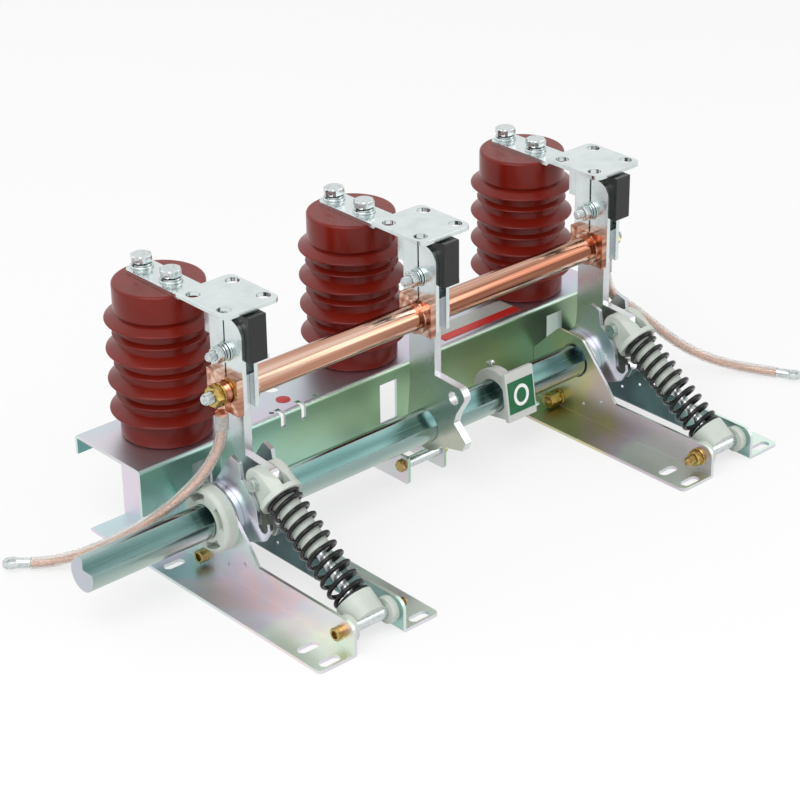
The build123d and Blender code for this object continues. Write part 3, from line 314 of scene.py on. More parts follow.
def chromate_film(name, tints, drift=60 * mm, roughness=0.3, lean=(1, 1, 1)):
    """Zinc plate under a chromate film. tints gives, for what faces along Y, X and Z, how the film
    changes per metre, the point where it is in the middle, how far it wanders, and its colours.
    drift is the size of its clouds and lean stretches them. The rolling marks under the film are
    finer than shows, so they are drawn 0.9 mm apart."""
    finish, tree, shader = new_finish(name, Metallic=1.0, Roughness=roughness)
    place = add_node(tree, "TexCoord").outputs
    spread = add_node(tree, "Mapping", {"Vector": place["Object"], "Scale": lean}).outputs["Vector"]
    clouds = {"Vector": spread, "Scale": 1 / drift, "Detail": 2.0, "Roughness": 0.45, "Distortion": 0.4}
    film = add_node(tree, "TexNoise", clouds).outputs["Fac"]
    facing = add_node(tree, "VectorMath", {0: place["Normal"], 1: place["Normal"]}, operation="MULTIPLY")
    share = add_node(tree, "SeparateXYZ", {"Vector": facing.outputs["Vector"]})
    tint = None
    for axis, (slope, middle, wander, stops) in zip("YXZ", tints):
        run = add_node(tree, "VectorMath", {0: place["Object"], 1: slope}, operation="DOT_PRODUCT")
        level = 0.5 - wander / 2 - Vector(slope).dot(Vector(middle) * mm)
        centred = add_node(tree, "Math", {0: run.outputs["Value"], 1: level}, operation="ADD").outputs[0]
        depth = add_node(tree, "Math", {0: film, 1: wander, 2: centred}, operation="MULTIPLY_ADD")
        shade = add_node(tree, "ValToRGB", {"Fac": depth.outputs[0]}, stops).outputs["Color"]
        if tint is None:
            tint = shade
        else:
            facing_it = {"Fac": share.outputs[axis], "Color1": tint, "Color2": shade}
            tint = add_node(tree, "MixRGB", facing_it).outputs[0]
    tree.links.new(tint, shader.inputs["Base Color"])
    satin = {"Value": film, "To Min": roughness - 0.08, "To Max": roughness + 0.08}
    tree.links.new(add_node(tree, "MapRange", satin).outputs["Result"], shader.inputs["Roughness"])
    rolled = add_node(tree, "Mapping", {"Vector": place["Object"], "Scale": (0.08, 1, 1)}).outputs["Vector"]
    lines = {"Vector": rolled, "Scale": 1 / (0.9 * mm), "Detail": 2.0}
    marks = add_node(tree, "TexNoise", lines).outputs["Fac"]
    bump = add_node(tree, "Bump", {"Height": marks, "Strength": 0.05, "Distance": 0.05 * mm})
    tree.links.new(bump.outputs["Normal"], shader.inputs["Normal"])
    return finish


def soften(piece, width, segments, harden=True):
    """Rounds a piece's edges with a bevel."""
    bevel = piece.modifiers.new("edge", "BEVEL")
    bevel.width = width
    bevel.segments = segments
    bevel.limit_method = "ANGLE"
    bevel.angle_limit = edge_angle
    bevel.harden_normals = harden


def dress(nodes, finish, edge):
    """Gives CAD nodes their finish and, over edge metres, the rounding that tumbling leaves. Their
    triangles are joined to whole faces first, so that the light runs evenly over each face."""
    for node in nodes:
        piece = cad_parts[node]
        piece.data.materials.clear()
        piece.data.materials.append(finish)
        weld = piece.modifiers.new("joined", "WELD")
        weld.merge_threshold = weld_reach
        whole = piece.modifiers.new("plain", "DECIMATE")
        whole.decimate_type = "DISSOLVE"
        whole.angle_limit = radians(0.3)
        soften(piece, edge, 2, harden=False)
        even = piece.modifiers.new("flat", "WEIGHTED_NORMAL")
        even.weight = 100
        even.keep_sharp = True


# The beam's film runs from blue-green at one end of its front to olive at the other.
beam_film = chromate_film(
    "zinc_chromate_beam",
    (
        ((1.8, 0, 2.0), (0, 0, 50), 0.6,
         ((0.05, "#A3D6CC"), (0.35, "#A9D0BA"), (0.58, "#A6C6A2"), (0.78, "#9DBA98"), (0.95, "#94AC90"))),
        (flat, flat, 1.2, ((0.3, "#D6E8E2"), (0.5, "#E0D6DE"), (0.7, "#CBE0D8"))),
        ((-0.6, 3.0, 0), (0, 160, 0), 1.2,
         ((0.2, "#C4CCD6"), (0.42, "#D0C9D6"), (0.6, "#C8D0D8"), (0.8, "#D4CED6"))),
    ),
    drift=70 * mm,
    roughness=0.38,
    lean=(0.5, 1, 1),
)
# The brackets' cut edges are painted palest, a painted highlight along them. Their webs run from
# pink to pale green on the left, and from green through straw to violet on the right.
cut_edges_painted_highlight = (flat, flat, 1.3, ((0.25, "#D2EAE2"), (0.5, "#E0D8E2"), (0.75, "#C8E2DA")))
left_film = chromate_film(
    "zinc_chromate_left_brackets",
    (
        cut_edges_painted_highlight,
        ((0, 2.6, 1.5), (0, 40, 45), 1.4,
         ((0.1, "#E4E4E2"), (0.26, "#F0DEDE"), (0.44, "#E2DEE8"), (0.62, "#D0E2DA"), (0.8, "#E4DAE6"))),
        ((0, -5.0, 0), (0, 20, 0), 1.2,
         ((0.05, "#C2D6DA"), (0.3, "#DACDD9"), (0.5, "#E8D4D6"), (0.7, "#E0DAE4"), (0.95, "#E6F8E6"))),
    ),
    drift=60 * mm,
    roughness=0.38,
)
right_film = chromate_film(
    "zinc_chromate_right_brackets",
    (
        cut_edges_painted_highlight,
        ((0, -2.6, -1.5), (0, 20, 45), 1.4,
         ((0.1, "#B3C8BE"), (0.3, "#C3CBAE"), (0.48, "#D6CCA0"), (0.62, "#D3C2B8"), (0.8, "#CFC3CC"))),
        ((0, -5.0, 0), (0, 20, 0), 1.2,
         ((0.05, "#B4B78E"), (0.3, "#C6C3A4"), (0.55, "#CFC3C2"), (0.78, "#D2CFD8"), (0.95, "#DDEEE0"))),
    ),
    drift=60 * mm,
    roughness=0.36,
)
# The far bracket of each pair is painted darker, slate green along its middle: painted dark reflection.
far_painted_reflection_film = chromate_film(
    "zinc_chromate_far_brackets_painted_reflection",
    (
        cut_edges_painted_highlight,
        ((0, 3.0, 0), (0, 40, 45), 1.0,
         ((0.05, "#A6C6C0"), (0.26, "#5C7A7A"), (0.5, "#44565A"), (0.74, "#566A68"), (0.92, "#DCE6E2"))),
        ((0, -5.0, 0), (0, 20, 0), 1.2,
         ((0.05, "#A9BEBC"), (0.4, "#C4C4CC"), (0.7, "#CFD3D4"), (0.95, "#E0F2E8"))),
    ),
    drift=60 * mm,
    roughness=0.34,
)
dress(["beam", "stop_bracket"], beam_film, sheet_edge)
dress(["bracket_left_outer"], left_film, sheet_edge)
dress(["bracket_right_inner"], right_film, sheet_edge)
dress(["bracket_left_inner", "bracket_right_outer"], far_painted_reflection_film, sheet_edge)

# Rating plate: 0.5 mm printed aluminium, fixed flat on top of the beam, grey with one red band.
# It is left bare of words.
plate_low, plate_high = Vector((77, 125.5, 90)) * mm, Vector((173, 153.5, 90.5)) * mm
plate_band = 10 * mm
plate_edge = 0.2 * mm


def block(low, high):
    """Corners and faces of a plain rectangular part between two corners."""
    corners = [(x, y, z) for z in (low[2], high[2]) for y in (low[1], high[1]) for x in (low[0], high[0])]
    return corners, [(0, 1, 3, 2), (4, 5, 7, 6), (0, 1, 5, 4), (2, 3, 7, 6), (0, 2, 6, 4), (1, 3, 7, 5)]


# Brushed aluminium under clear ink: satin, grey still half metallic, the red ink opaque and even.
# The brush lines are too fine to show, so they are drawn 0.6 mm apart.
plate_greys = ((0.3, "#B1B5AF"), (0.7, "#C4C7C2"))
plate_print, tree, shader = new_finish("printed_aluminium", Metallic=0.35, Roughness=0.38)
place = add_node(tree, "TexCoord").outputs["Object"]
over = add_node(tree, "SeparateXYZ", {"Vector": place}).outputs["Y"]
red = add_node(tree, "Math", {0: over, 1: plate_low.y + plate_band}, operation="LESS_THAN").outputs[0]
brushed = add_node(tree, "Mapping", {"Vector": place, "Scale": (0.04, 1, 1)}).outputs["Vector"]
lines = add_node(tree, "TexNoise", {"Vector": brushed, "Scale": 1 / (0.6 * mm), "Detail": 2.0}).outputs["Fac"]
grey = add_node(tree, "ValToRGB", {"Fac": lines}, plate_greys).outputs["Color"]
tint = add_node(tree, "MixRGB", {"Fac": red, "Color1": grey, "Color2": colour("#D2312A")})
tree.links.new(tint.outputs[0], shader.inputs["Base Color"])
plate = shape("rating_plate", [(*block(plate_low, plate_high), in_place)], plate_print)
soften(plate, plate_edge, 2)
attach(plate, "frame")

# Round sticker on top of the beam, left of the middle post: 0.3 mm red printed paper, cut with a
# die and stuck on. It is left bare.
sticker_middle = Vector((-104.8, 137.2, 90)) * mm
sticker_radius, sticker_thickness, sticker_hollow = 6.5 * mm, 0.3 * mm, 1 * mm


def turned(profile, segments=48, flats=0.0):
    """Corners and faces of a lathe-turned part on its own Z axis; profile is (radius, height) pairs.
    With flats, the distance across them, it is milled to a hexagon that far."""
    corners = []
    for radius, height in profile:
        for step in range(segments):
            angle = tau * step / segments
            reach = min(radius, flats / 2 / cos(angle % (pi / 3) - pi / 6)) if flats else radius
            corners.append((reach * cos(angle), reach * sin(angle), height))
    if profile[0] != profile[-1]:
        return corners, skin(len(profile), segments)
    last = len(corners) - segments
    faces = skin(len(profile), segments, caps=False)
    return corners[:last], [tuple(i - last if i >= last else i for i in face) for face in faces]


# Printed paper: matt, the red a touch uneven. Its fibres are too fine to show, so the tint
# changes over 1.5 mm.
paper_tints = ((0.3, "#C4362E"), (0.7, "#D0453C"))
sticker_print, tree, shader = new_finish("red_printed_paper", Roughness=0.5)
mottle(tree, shader, 1.5 * mm, 3.0, paper_tints)
sticker_profile = [
    (sticker_radius, 0),
    (sticker_radius, sticker_thickness - 0.05 * mm),
    (sticker_radius - 0.1 * mm, sticker_thickness),
    (sticker_hollow, sticker_thickness),
]
sticker_part = (*turned(sticker_profile), Matrix.Translation(sticker_middle))
sticker = shape("round_sticker", [sticker_part], sticker_print)
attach(sticker, "frame")

# Post insulators: brick-red cycloaliphatic epoxy, cast in a steel mould and bolted to the beam,
# with thin round-edged sheds, four large and three small.
insulator_segments = 96
body_radius = 39.4 * mm
body_edge, body_flat = 2.5 * mm, 0.2 * mm
body_gap = 8.4 * mm
waist_radius = 37.2 * mm
root_reach, root_rise = 0.6 * mm, 0.5 * mm
shed_radius = 47.4 * mm
small_shed_radius = 41.5 * mm
shed_drops = (32.8 * mm, 60.7 * mm, 88.7 * mm, 116.1 * mm)
shed_top, shed_under, shed_rim = 5.6 * mm, 2.2 * mm, 1.1 * mm


def seated(place, axis=(0, 0, 1)):
    """Turns a part's Z axis to a direction and moves it to a place."""
    return Matrix.Translation(place) @ Vector(axis).to_track_quat("Z", "Y").to_matrix().to_4x4()


def round_corner(centre, radius, start, end, steps=5):
    """Points on an arc in a profile, from angle start to end in degrees."""
    angles = [radians(start + (end - start) * step / steps) for step in range(steps + 1)]
    return [(centre[0] + radius * cos(a), centre[1] + radius * sin(a)) for a in angles]


def insulator_profile(height):
    """Body, waist, four large sheds with rounded rims and three small ones between them."""
    small = [(a + b) / 2 for a, b in zip(shed_drops, shed_drops[1:])]
    sheds = sorted([(d, shed_radius) for d in shed_drops] + [(d, small_shed_radius) for d in small])
    shoulder = body_radius - body_edge
    points = [(shoulder - body_flat, height), *round_corner((shoulder, height - body_edge), body_edge, 90, 0)]
    points.append((body_radius, height - shed_drops[0] + body_gap))
    for drop, radius in sheds:
        reach = (radius - waist_radius) / (shed_radius - waist_radius)
        top, under = shed_top * sqrt(reach), shed_under * sqrt(reach)
        points.append((waist_radius, height - drop + top))
        points.append((waist_radius + root_reach, height - drop + top - root_rise))
        points += round_corner((radius - shed_rim, height - drop), shed_rim, 65, -80)
        points.append((waist_radius + root_reach, height - drop - under))
        points.append((waist_radius, height - drop - under - root_rise))
    points.append((body_radius, height - shed_drops[-1] - body_gap))
    points += round_corner((shoulder, body_edge), body_edge, 0, -90)
    return [*points, (shoulder - body_flat, 0)]


# Cast epoxy: semi-gloss, its rims catching the light, with broad clouds in the red and a skin that
# a trace of release agent leaves slightly uneven. That skin is drawn at 1.2 mm to show.
resin_tints = ((0.3, "#6A1409"), (0.7, "#7A1A0E"))
resin, tree, shader = new_finish("cast_epoxy_resin", IOR=1.55, Roughness=0.27, Specular_IOR_Level=0.26)
mottle(tree, shader, 45 * mm, 4.0, resin_tints)
place = add_node(tree, "TexCoord").outputs["Object"]
fine = add_node(tree, "TexNoise", {"Vector": place, "Scale": 1 / (1.2 * mm), "Detail": 2.0}).outputs["Fac"]
bump = add_node(tree, "Bump", {"Height": fine, "Strength": 0.05, "Distance": 0.1 * mm})
tree.links.new(bump.outputs["Normal"], shader.inputs["Normal"])
for phase in phases:
    low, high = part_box(f"insulator_{phase}")
    post_part = (
        *turned(insulator_profile(high.z - low.z), insulator_segments),
        seated(((low.x + high.x) / 2, (low.y + high.y) / 2, low.z)),
    )
    post = shape(f"resin_post_{phase}", [post_part], resin)
    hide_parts(f"insulator_{phase}")
    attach(post, "frame")

# Terminal pieces, contact fingers and shelves: flat copper, stamped and bent, then silver plated.
# Bright white metal with a few cloudy smudges from handling. Its scuffs are hair-fine, so they
# are drawn 2.5 mm apart to show.
silver_tints = ((0.3, "#DEE6E5"), (0.55, "#D6DEDE"), (0.75, "#C9D2D2"))
silver, tree, shader = new_finish("silver_plated_copper", Metallic=1.0, Roughness=0.22)
place = add_node(tree, "TexCoord").outputs["Object"]
clouds = {"Vector": place, "Scale": 1 / (22 * mm), "Detail": 5.0, "Roughness": 0.6}
smudge = add_node(tree, "TexNoise", clouds).outputs["Fac"]
tint = add_node(tree, "ValToRGB", {"Fac": smudge}, silver_tints)
tree.links.new(tint.outputs["Color"], shader.inputs["Base Color"])
gloss = add_node(tree, "MapRange", {"Value": smudge, "To Min": 0.18, "To Max": 0.26})
tree.links.new(gloss.outputs["Result"], shader.inputs["Roughness"])
scuff = add_node(tree, "TexNoise", {"Vector": place, "Scale": 1 / (2.5 * mm), "Detail": 3.0}).outputs["Fac"]
bump = add_node(tree, "Bump", {"Height": scuff, "Strength": 0.03, "Distance": 0.1 * mm})
tree.links.new(bump.outputs["Normal"], shader.inputs["Normal"])
dress([f"terminal_{phase}" for phase in phases], silver, 0.5 * mm)
dress(["contact_fingers", "shelf_fingers"], silver, 0.4 * mm)

# Knife arms: 8 mm copper bar, milled and plated like the terminals, but left duller and with a
# trace of green and violet from the passivation bath.
arm_film = chromate_film(
    "dull_silver_plate",
    (
        (flat, flat, 1.2, ((0.3, "#D3DBD8"), (0.7, "#CFCBD4"))),
        ((0, 0, 5.0), (0, 0, 100), 1.0,
         ((0.0, "#BDC2B4"), (0.3, "#C8CBBC"), (0.6, "#D6D6D6"), (1.0, "#D9DCDB"))),
        (flat, flat, 1.0, ((0.3, "#DADFDD"), (0.7, "#D6D3DA"))),
    ),
    drift=35 * mm,
    roughness=0.27,
)
dress([f"knife_arm_{phase}" for phase in phases], arm_film, 0.4 * mm)

# Switch shaft: 30 mm bright-drawn steel bar with a milled step, zinc plated and passivated blue.
# Long bands along the bar, grey-green to slate, are painted by height round it: painted reflection streaks
# over the film's own clouds.
shaft_painted_streak_film = chromate_film(
    "blue_chromate_bar_painted_streaks",
    (
        ((0, 0, 24.0), (0, 64, 56), 0.6,
         ((0.1, "#B9C9C0"), (0.35, "#A9B9B0"), (0.5, "#90A7A3"), (0.66, "#7E9A99"), (0.9, "#A3B9B8"))),
        (flat, flat, 1.0, ((0.3, "#C3C4CE"), (0.7, "#BCC2CA"))),
        ((1.5, 40.0, 0), (-100, 64, 0), 0.6, ((0.1, "#A6BBB8"), (0.5, "#98AFAC"), (0.9, "#8DA5A2"))),
    ),
    drift=30 * mm,
    roughness=0.22,
    lean=(0.12, 1, 1),
)
dress(["main_shaft"], shaft_painted_streak_film, 0.3 * mm)

# Drive levers and shaft collars: 4 mm steel, stamped, tumbled and zinc plated. Small parts come
# out of the barrel evenly pale, with faint clouds of blue, violet and green.
lever_film = chromate_film(
    "zinc_chromate_stamping",
    (
        (flat, flat, 1.2, ((0.3, "#C9D6D3"), (0.7, "#CCC8D6"))),
        (flat, flat, 1.4, ((0.25, "#D2DEE4"), (0.5, "#D6D2E2"), (0.75, "#CDE2DD"))),
        (flat, flat, 1.2, ((0.3, "#D2DAD9"), (0.7, "#CFCCD8"))),
    ),
    drift=25 * mm,
)
dress(["levers_left", "levers_right", "shaft_collars"], lever_film, 0.3 * mm)

# Copper link: drawn copper tubes with flared ends and sawn copper clamp plates. The bare metal is
# bright. Its streaks along the tubes, 7 mm apart, are partly die marks and partly painted: the pale
# ones a painted highlight, the dark ones a painted dark reflection.
copper_die_and_reflection_tints = ((0.34, "#8C5A46"), (0.5, "#BC8A73"), (0.66, "#E4C2B0"))
copper, tree, shader = new_finish("drawn_copper_painted_streaks", Metallic=1.0, Roughness=0.2)
place = add_node(tree, "TexCoord").outputs["Object"]
along = add_node(tree, "Mapping", {"Vector": place, "Scale": (0.02, 1.0, 1.0)}).outputs["Vector"]
die_and_reflection_streaks = add_node(tree, "TexNoise", {"Vector": along, "Scale": 1 / (7 * mm), "Detail": 3.0}).outputs["Fac"]
tint = add_node(tree, "ValToRGB", {"Fac": die_and_reflection_streaks}, copper_die_and_reflection_tints)
tree.links.new(tint.outputs["Color"], shader.inputs["Base Color"])
gloss = add_node(tree, "MapRange", {"Value": die_and_reflection_streaks, "To Min": 0.08, "To Max": 0.16})
tree.links.new(gloss.outputs["Result"], shader.inputs["Roughness"])
bump = add_node(tree, "Bump", {"Height": die_and_reflection_streaks, "Strength": 0.02, "Distance": 0.1 * mm})
tree.links.new(bump.outputs["Normal"], shader.inputs["Normal"])
dress([f"link_clamp_{phase}" for phase in phases] + ["link_tube_left", "link_tube_right"], copper, 0.3 * mm)

# Arc blocks: phenolic resin, moulded black and half matt. The mould's texture is too fine to show,
# so it is drawn at 0.8 mm.
black_tints = ((0.3, "#0F1211"), (0.7, "#181B1A"))
black_resin, tree, shader = new_finish(
    "moulded_black_resin", IOR=1.6, Roughness=0.36, Specular_IOR_Level=0.36
)
grain = mottle(tree, shader, 0.8 * mm, 3.0, black_tints)
bump = add_node(tree, "Bump", {"Height": grain, "Strength": 0.12, "Distance": 0.1 * mm})
tree.links.new(bump.outputs["Normal"], shader.inputs["Normal"])
dress(["arc_blocks"], black_resin, 0.6 * mm)

# Shaft bearings, spring forks, seats and spacers: natural nylon 66, injection moulded. Off-white
# and a little waxy, with flow marks, and light goes some way into it.
nylon_tints = ((0.3, "#BFC8BF"), (0.7, "#CBD2CA"))
nylon, tree, shader = new_finish(
    "natural_nylon", IOR=1.53, Roughness=0.42, Subsurface_Weight=0.12, Subsurface_Scale=4 * mm
)
flow = mottle(tree, shader, 18 * mm, 3.0, nylon_tints)
gloss = add_node(tree, "MapRange", {"Value": flow, "To Min": 0.34, "To Max": 0.5})
tree.links.new(gloss.outputs["Result"], shader.inputs["Roughness"])
nylon_nodes = [f"{piece}_{side}" for piece in ("bearing", "spring_fork", "spring_seat") for side in sides]
dress(nylon_nodes + ["pivot_spacers"], nylon, 0.6 * mm)

# Bolts, nuts and washers: cold-headed steel, zinc plated. Clear plating is bright and bluish;
# yellow plating runs from straw to pink. Each part is made where the CAD frame has its solid.
Thread = namedtuple("Thread", "radius pitch flats")
m4 = Thread(2 * mm, 0.7 * mm, 7 * mm)
m6 = Thread(3 * mm, 1.0 * mm, 10 * mm)
m8 = Thread(4 * mm, 1.25 * mm, 13 * mm)
m10 = Thread(5 * mm, 1.5 * mm, 17 * mm)
m8_head = 5.3 * mm
m8_shank_radius = 3.95 * mm
right_way, left_way = (1, 0, 0), (-1, 0, 0)


def zinc_plate(name, tints):
    """Zinc plate on small turned and headed parts, its tint and gloss changing over 5 mm."""
    finish, tree, shader = new_finish(name, Metallic=1.0, Roughness=0.24)
    film = mottle(tree, shader, 5 * mm, 3.0, tints)
    gloss = add_node(tree, "MapRange", {"Value": film, "To Min": 0.2, "To Max": 0.36})
    tree.links.new(gloss.outputs["Result"], shader.inputs["Roughness"])
    bump = add_node(tree, "Bump", {"Height": film, "Strength": 0.1, "Distance": 0.1 * mm})
    tree.links.new(bump.outputs["Normal"], shader.inputs["Normal"])
    return finish


clear_zinc = zinc_plate("clear_zinc_plating", ((0.3, "#B4BEBE"), (0.5, "#D4DAD9"), (0.7, "#BEC4C9")))
yellow_zinc = zinc_plate("yellow_zinc_plating", ((0.3, "#A88A3E"), (0.5, "#C7B06A"), (0.7, "#9C6A48")))
pink_zinc = zinc_plate("pink_zinc_plating", ((0.3, "#8C7046"), (0.5, "#B8A468"), (0.7, "#9C6E4C")))


def solids_of(node):
    """The middle, low corner and high corner of each separate solid in a CAD node, from the left."""
    work = bmesh.new()
    work.from_mesh(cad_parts[node].data)
    bmesh.ops.remove_doubles(work, verts=work.verts, dist=weld_reach)
    waiting, solids = set(work.verts), []
    while waiting:
        reached = [waiting.pop()]
        for vertex in reached:
            beside = [edge.other_vert(vertex) for edge in vertex.link_edges]
            fresh = [other for other in beside if other in waiting]
            waiting.difference_update(fresh)
            reached += fresh
        low = Vector([min(v.co[i] for v in reached) for i in range(3)])
        high = Vector([max(v.co[i] for v in reached) for i in range(3)])
        solids.append(((low + high) / 2, low, high))
    work.free()
    return sorted(solids, key=lambda solid: (round(solid[0].x, 4), round(solid[0].y, 4)))


def nut(thread, height, bored=True):
    """A hexagon nut, or a bolt's head where it isn't bored, chamfered at both faces, from z = 0 up."""
    corner = thread.flats / sqrt(3)
    face = thread.flats / 2 * 0.96
    rise = (corner - face) * 0.5
    outside = [(face, 0), (corner, rise), (corner, height - rise), (face, height)]
    if not bored:
        return turned([(face * 0.5, 0), *outside, (face * 0.5, height)], 72, thread.flats)
    bore, lead_in = thread.radius, thread.radius * 0.12
    inside = [(bore + lead_in, height), (bore, height - lead_in), (bore, lead_in), (bore + lead_in, 0)]
    return turned([*outside, *inside, outside[0]], 72, thread.flats)


def washer(radius, bore, thickness):
    """A flat washer with a rounded rim, from z = 0 up."""
    edge = thickness * 0.2
    rim = [(radius - edge, 0), (radius, edge), (radius, thickness - edge), (radius - edge, thickness)]
    return turned([(bore, 0), *rim, (bore, thickness), (bore, 0)])


def split_washer(radius, bore, thickness):
    """A spring lock washer: one turn of square wire with its ends a little apart."""
    steps, gap = 44, radians(8)
    wire_height, climb = 0.65 * thickness, 0.35 * thickness
    corners = []
    for step in range(steps + 1):
        angle = gap + (tau - 2 * gap) * step / steps
        for reach, height in ((bore, 0), (radius, 0), (radius, wire_height), (bore, wire_height)):
            corners.append((reach * cos(angle), reach * sin(angle), climb * step / steps + height))
    return corners, skin(steps + 1, 4)


def shank(radius, length):
    """A bolt's plain shank, from z = 0 up."""
    return turned([(radius, 0), (radius, length)], 24)


def threaded(thread, length):
    """A threaded end from z = 0 up to its chamfered tip."""
    pitch, root = thread.pitch, thread.radius - 0.6 * thread.pitch
    points, height = [(root, 0)], 0.0
    while height + pitch < length:
        crest = (thread.radius, height + 0.5 * pitch)
        points += [(root, height + 0.15 * pitch), crest, (root, height + 0.9 * pitch)]
        height += pitch
    return turned([*points, (root * 0.96, length - 0.3 * pitch), (root * 0.8, length)], 28)


def on_axis(x, middle, way=right_way):
    """Seats a part at x on the line along X through middle, its own Z pointing one way along it."""
    return seated((x, middle.y, middle.z), way)


def fit(name, parts, finish, body, node):
    """Makes fasteners from (corners, faces, seat) parts, in place of a CAD node."""
    piece = shape(name, parts, finish, radians(28))
    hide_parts(node)
    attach(piece, body)


# Terminal bolts: M10, two on each post, that hold the terminal pieces down, with a flat washer and
# a spring washer under each head.
terminal_head, flat_thickness, spring_thickness = 6.5 * mm, 2 * mm, 2.5 * mm
bolts, washers = [], []
for middle, low, high in solids_of("strap_bolts"):
    seat = seated((middle.x, middle.y, high.z - terminal_head))
    bolts.append((*nut(m10, terminal_head, bored=False), seat))
for middle, low, high in solids_of("strap_washers"):
    flat_seat, spring_seat = (seated((middle.x, middle.y, z)) for z in (low.z, low.z + flat_thickness))
    washers.append((*washer(10 * mm, 5.3 * mm, flat_thickness), flat_seat))
    washers.append((*split_washer(8.6 * mm, 5.3 * mm, spring_thickness), spring_seat))
fit("terminal_bolts", bolts, clear_zinc, "frame", "strap_bolts")
fit("terminal_washers", washers, clear_zinc, "frame", "strap_washers")

# Contact bolts: M8 through fingers, arm and shelf, with a nut over a stack of disc springs that
# sets the contact pressure. The discs are coned, and each faces the other way from the last.
disc_count, disc_pitch = 4, 1.25 * mm
disc_bore_radius, disc_cone, disc_thickness = 4.2 * mm, 0.5 * mm, 0.8 * mm
smallest_disc, disc_growth = 7.5 * mm, 0.5 * mm
bolts, discs = [], []
for middle, low, high in solids_of("contact_bolts"):
    neck = high.x - m8_head
    bolts.append((*nut(m8, m8_head, bored=False), on_axis(neck, middle)))
    bolts.append((*threaded(m8, neck - low.x), on_axis(neck, middle, left_way)))
for middle, low, high in solids_of("contact_discs"):
    for layer in range(disc_count):
        rim = smallest_disc + disc_growth * layer
        bore_foot, bore_top = (disc_bore_radius, disc_cone), (disc_bore_radius, disc_pitch)
        cone = [bore_foot, (rim, 0), (rim, disc_thickness), bore_top, bore_foot]
        if layer % 2:
            cone = [(radius, disc_pitch - height) for radius, height in reversed(cone)]
        discs.append((*turned(cone), on_axis(low.x + layer * disc_pitch, middle)))
nuts = [(*nut(m8, high.x - low.x), on_axis(low.x, middle)) for middle, low, high in solids_of("contact_nuts")]
fit("contact_screws", bolts, clear_zinc, "knife", "contact_bolts")
fit("contact_lock_nuts", nuts, clear_zinc, "knife", "contact_nuts")
fit("disc_springs", discs, silver, "knife", "contact_discs")

# Link stud: M10 steel rod through the copper tubes, threaded at both ends, with a washer and a
# nut at each.
stud_thread = 24 * mm
low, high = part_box("link_rod")
middle = (low + high) / 2
stud = [
    (*shank(4.9 * mm, high.x - low.x - 2 * stud_thread), on_axis(low.x + stud_thread, middle)),
    (*threaded(m10, stud_thread), on_axis(low.x + stud_thread, middle, left_way)),
    (*threaded(m10, stud_thread), on_axis(high.x - stud_thread, middle)),
]
nuts = [(*nut(m10, high.x - low.x), on_axis(low.x, middle)) for middle, low, high in solids_of("link_nuts")]
rings = [
    (*washer(10 * mm, 5.2 * mm, high.x - low.x), on_axis(low.x, middle))
    for middle, low, high in solids_of("link_washers")
]
fit("link_stud", stud, clear_zinc, "knife", "link_rod")
fit("link_end_nuts", nuts, yellow_zinc, "knife", "link_nuts")
fit("link_end_washers", rings, pink_zinc, "knife", "link_washers")

# Bracket bolts: all M8, with plain nuts, through each pair of brackets. On the left they are cap
# screws, their hexagon socket drawn round, and on the right hexagon bolts.
bolt_thread = 26 * mm
cap_height, cap_radius, cap_edge = 7 * mm, 5.8 * mm, 0.6 * mm
socket_radius, socket_floor = 3.46 * mm, 3 * mm
cap_profile = [
    (cap_radius, 0),
    (cap_radius, cap_height - cap_edge),
    (cap_radius - cap_edge, cap_height),
    (socket_radius, cap_height),
    (socket_radius, socket_floor),
]
screws, heads = [], []
for middle, low, high in solids_of("bracket_bolts"):
    if middle.x < 0:
        head, outward, inward = turned(cap_profile), left_way, right_way
        neck, thread_start = low.x + cap_height, high.x - bolt_thread
    else:
        head, outward, inward = nut(m8, m8_head, bored=False), right_way, left_way
        neck, thread_start = high.x - m8_head, low.x + bolt_thread
    heads.append((*head, on_axis(neck, middle, outward)))
    screws.append((*shank(m8_shank_radius, abs(thread_start - neck)), on_axis(neck, middle, inward)))
    screws.append((*threaded(m8, bolt_thread), on_axis(thread_start, middle, inward)))
nuts = [(*nut(m8, high.x - low.x), on_axis(low.x, middle)) for middle, low, high in solids_of("bracket_nuts")]
rings = [
    (*washer(8 * mm, 4.3 * mm, high.x - low.x), on_axis(low.x, middle))
    for middle, low, high in solids_of("bracket_washers")
]
fit("bracket_screws", screws + heads, pink_zinc, "frame", "bracket_bolts")
fit("bracket_lock_nuts", nuts, yellow_zinc, "frame", "bracket_nuts")
fit("bracket_flat_washers", rings, yellow_zinc, "frame", "bracket_washers")

# Stop bolt for the middle arm: M6 steel, through the two ears of the stop bracket and a sleeve,
# with a nut.
m6_head = 4 * mm
solids = solids_of("stop_bolt")
bolt_middle, bolt_low, bolt_high = min(solids, key=lambda solid: solid[1].x)
nut_middle, nut_low, nut_high = max(solids, key=lambda solid: solid[1].x)
neck = bolt_low.x + m6_head
stop = [
    (*nut(m6, m6_head, bored=False), on_axis(neck, bolt_middle, left_way)),
    (*threaded(m6, bolt_high.x - neck), on_axis(neck, bolt_middle)),
    (*nut(m6, nut_high.x - nut_low.x), on_axis(nut_low.x, nut_middle)),
]
fit("stop_screw", stop, pink_zinc, "frame", "stop_bolt")

# Insulator bolts, guide rods, pins, sleeves and lead rings: steel, plated clear like the bolts
# above. The lead lugs are pressed from copper tube, like the link.
bright_nodes = [f"guide_rod_{side}" for side in sides]
bright_nodes += ["insulator_bolts", "pivot_sleeves", "spring_pins", "stop_sleeve", "lead_rings"]
dress(bright_nodes, clear_zinc, 0.3 * mm)
dress(["lead_lugs"], copper, 0.3 * mm)

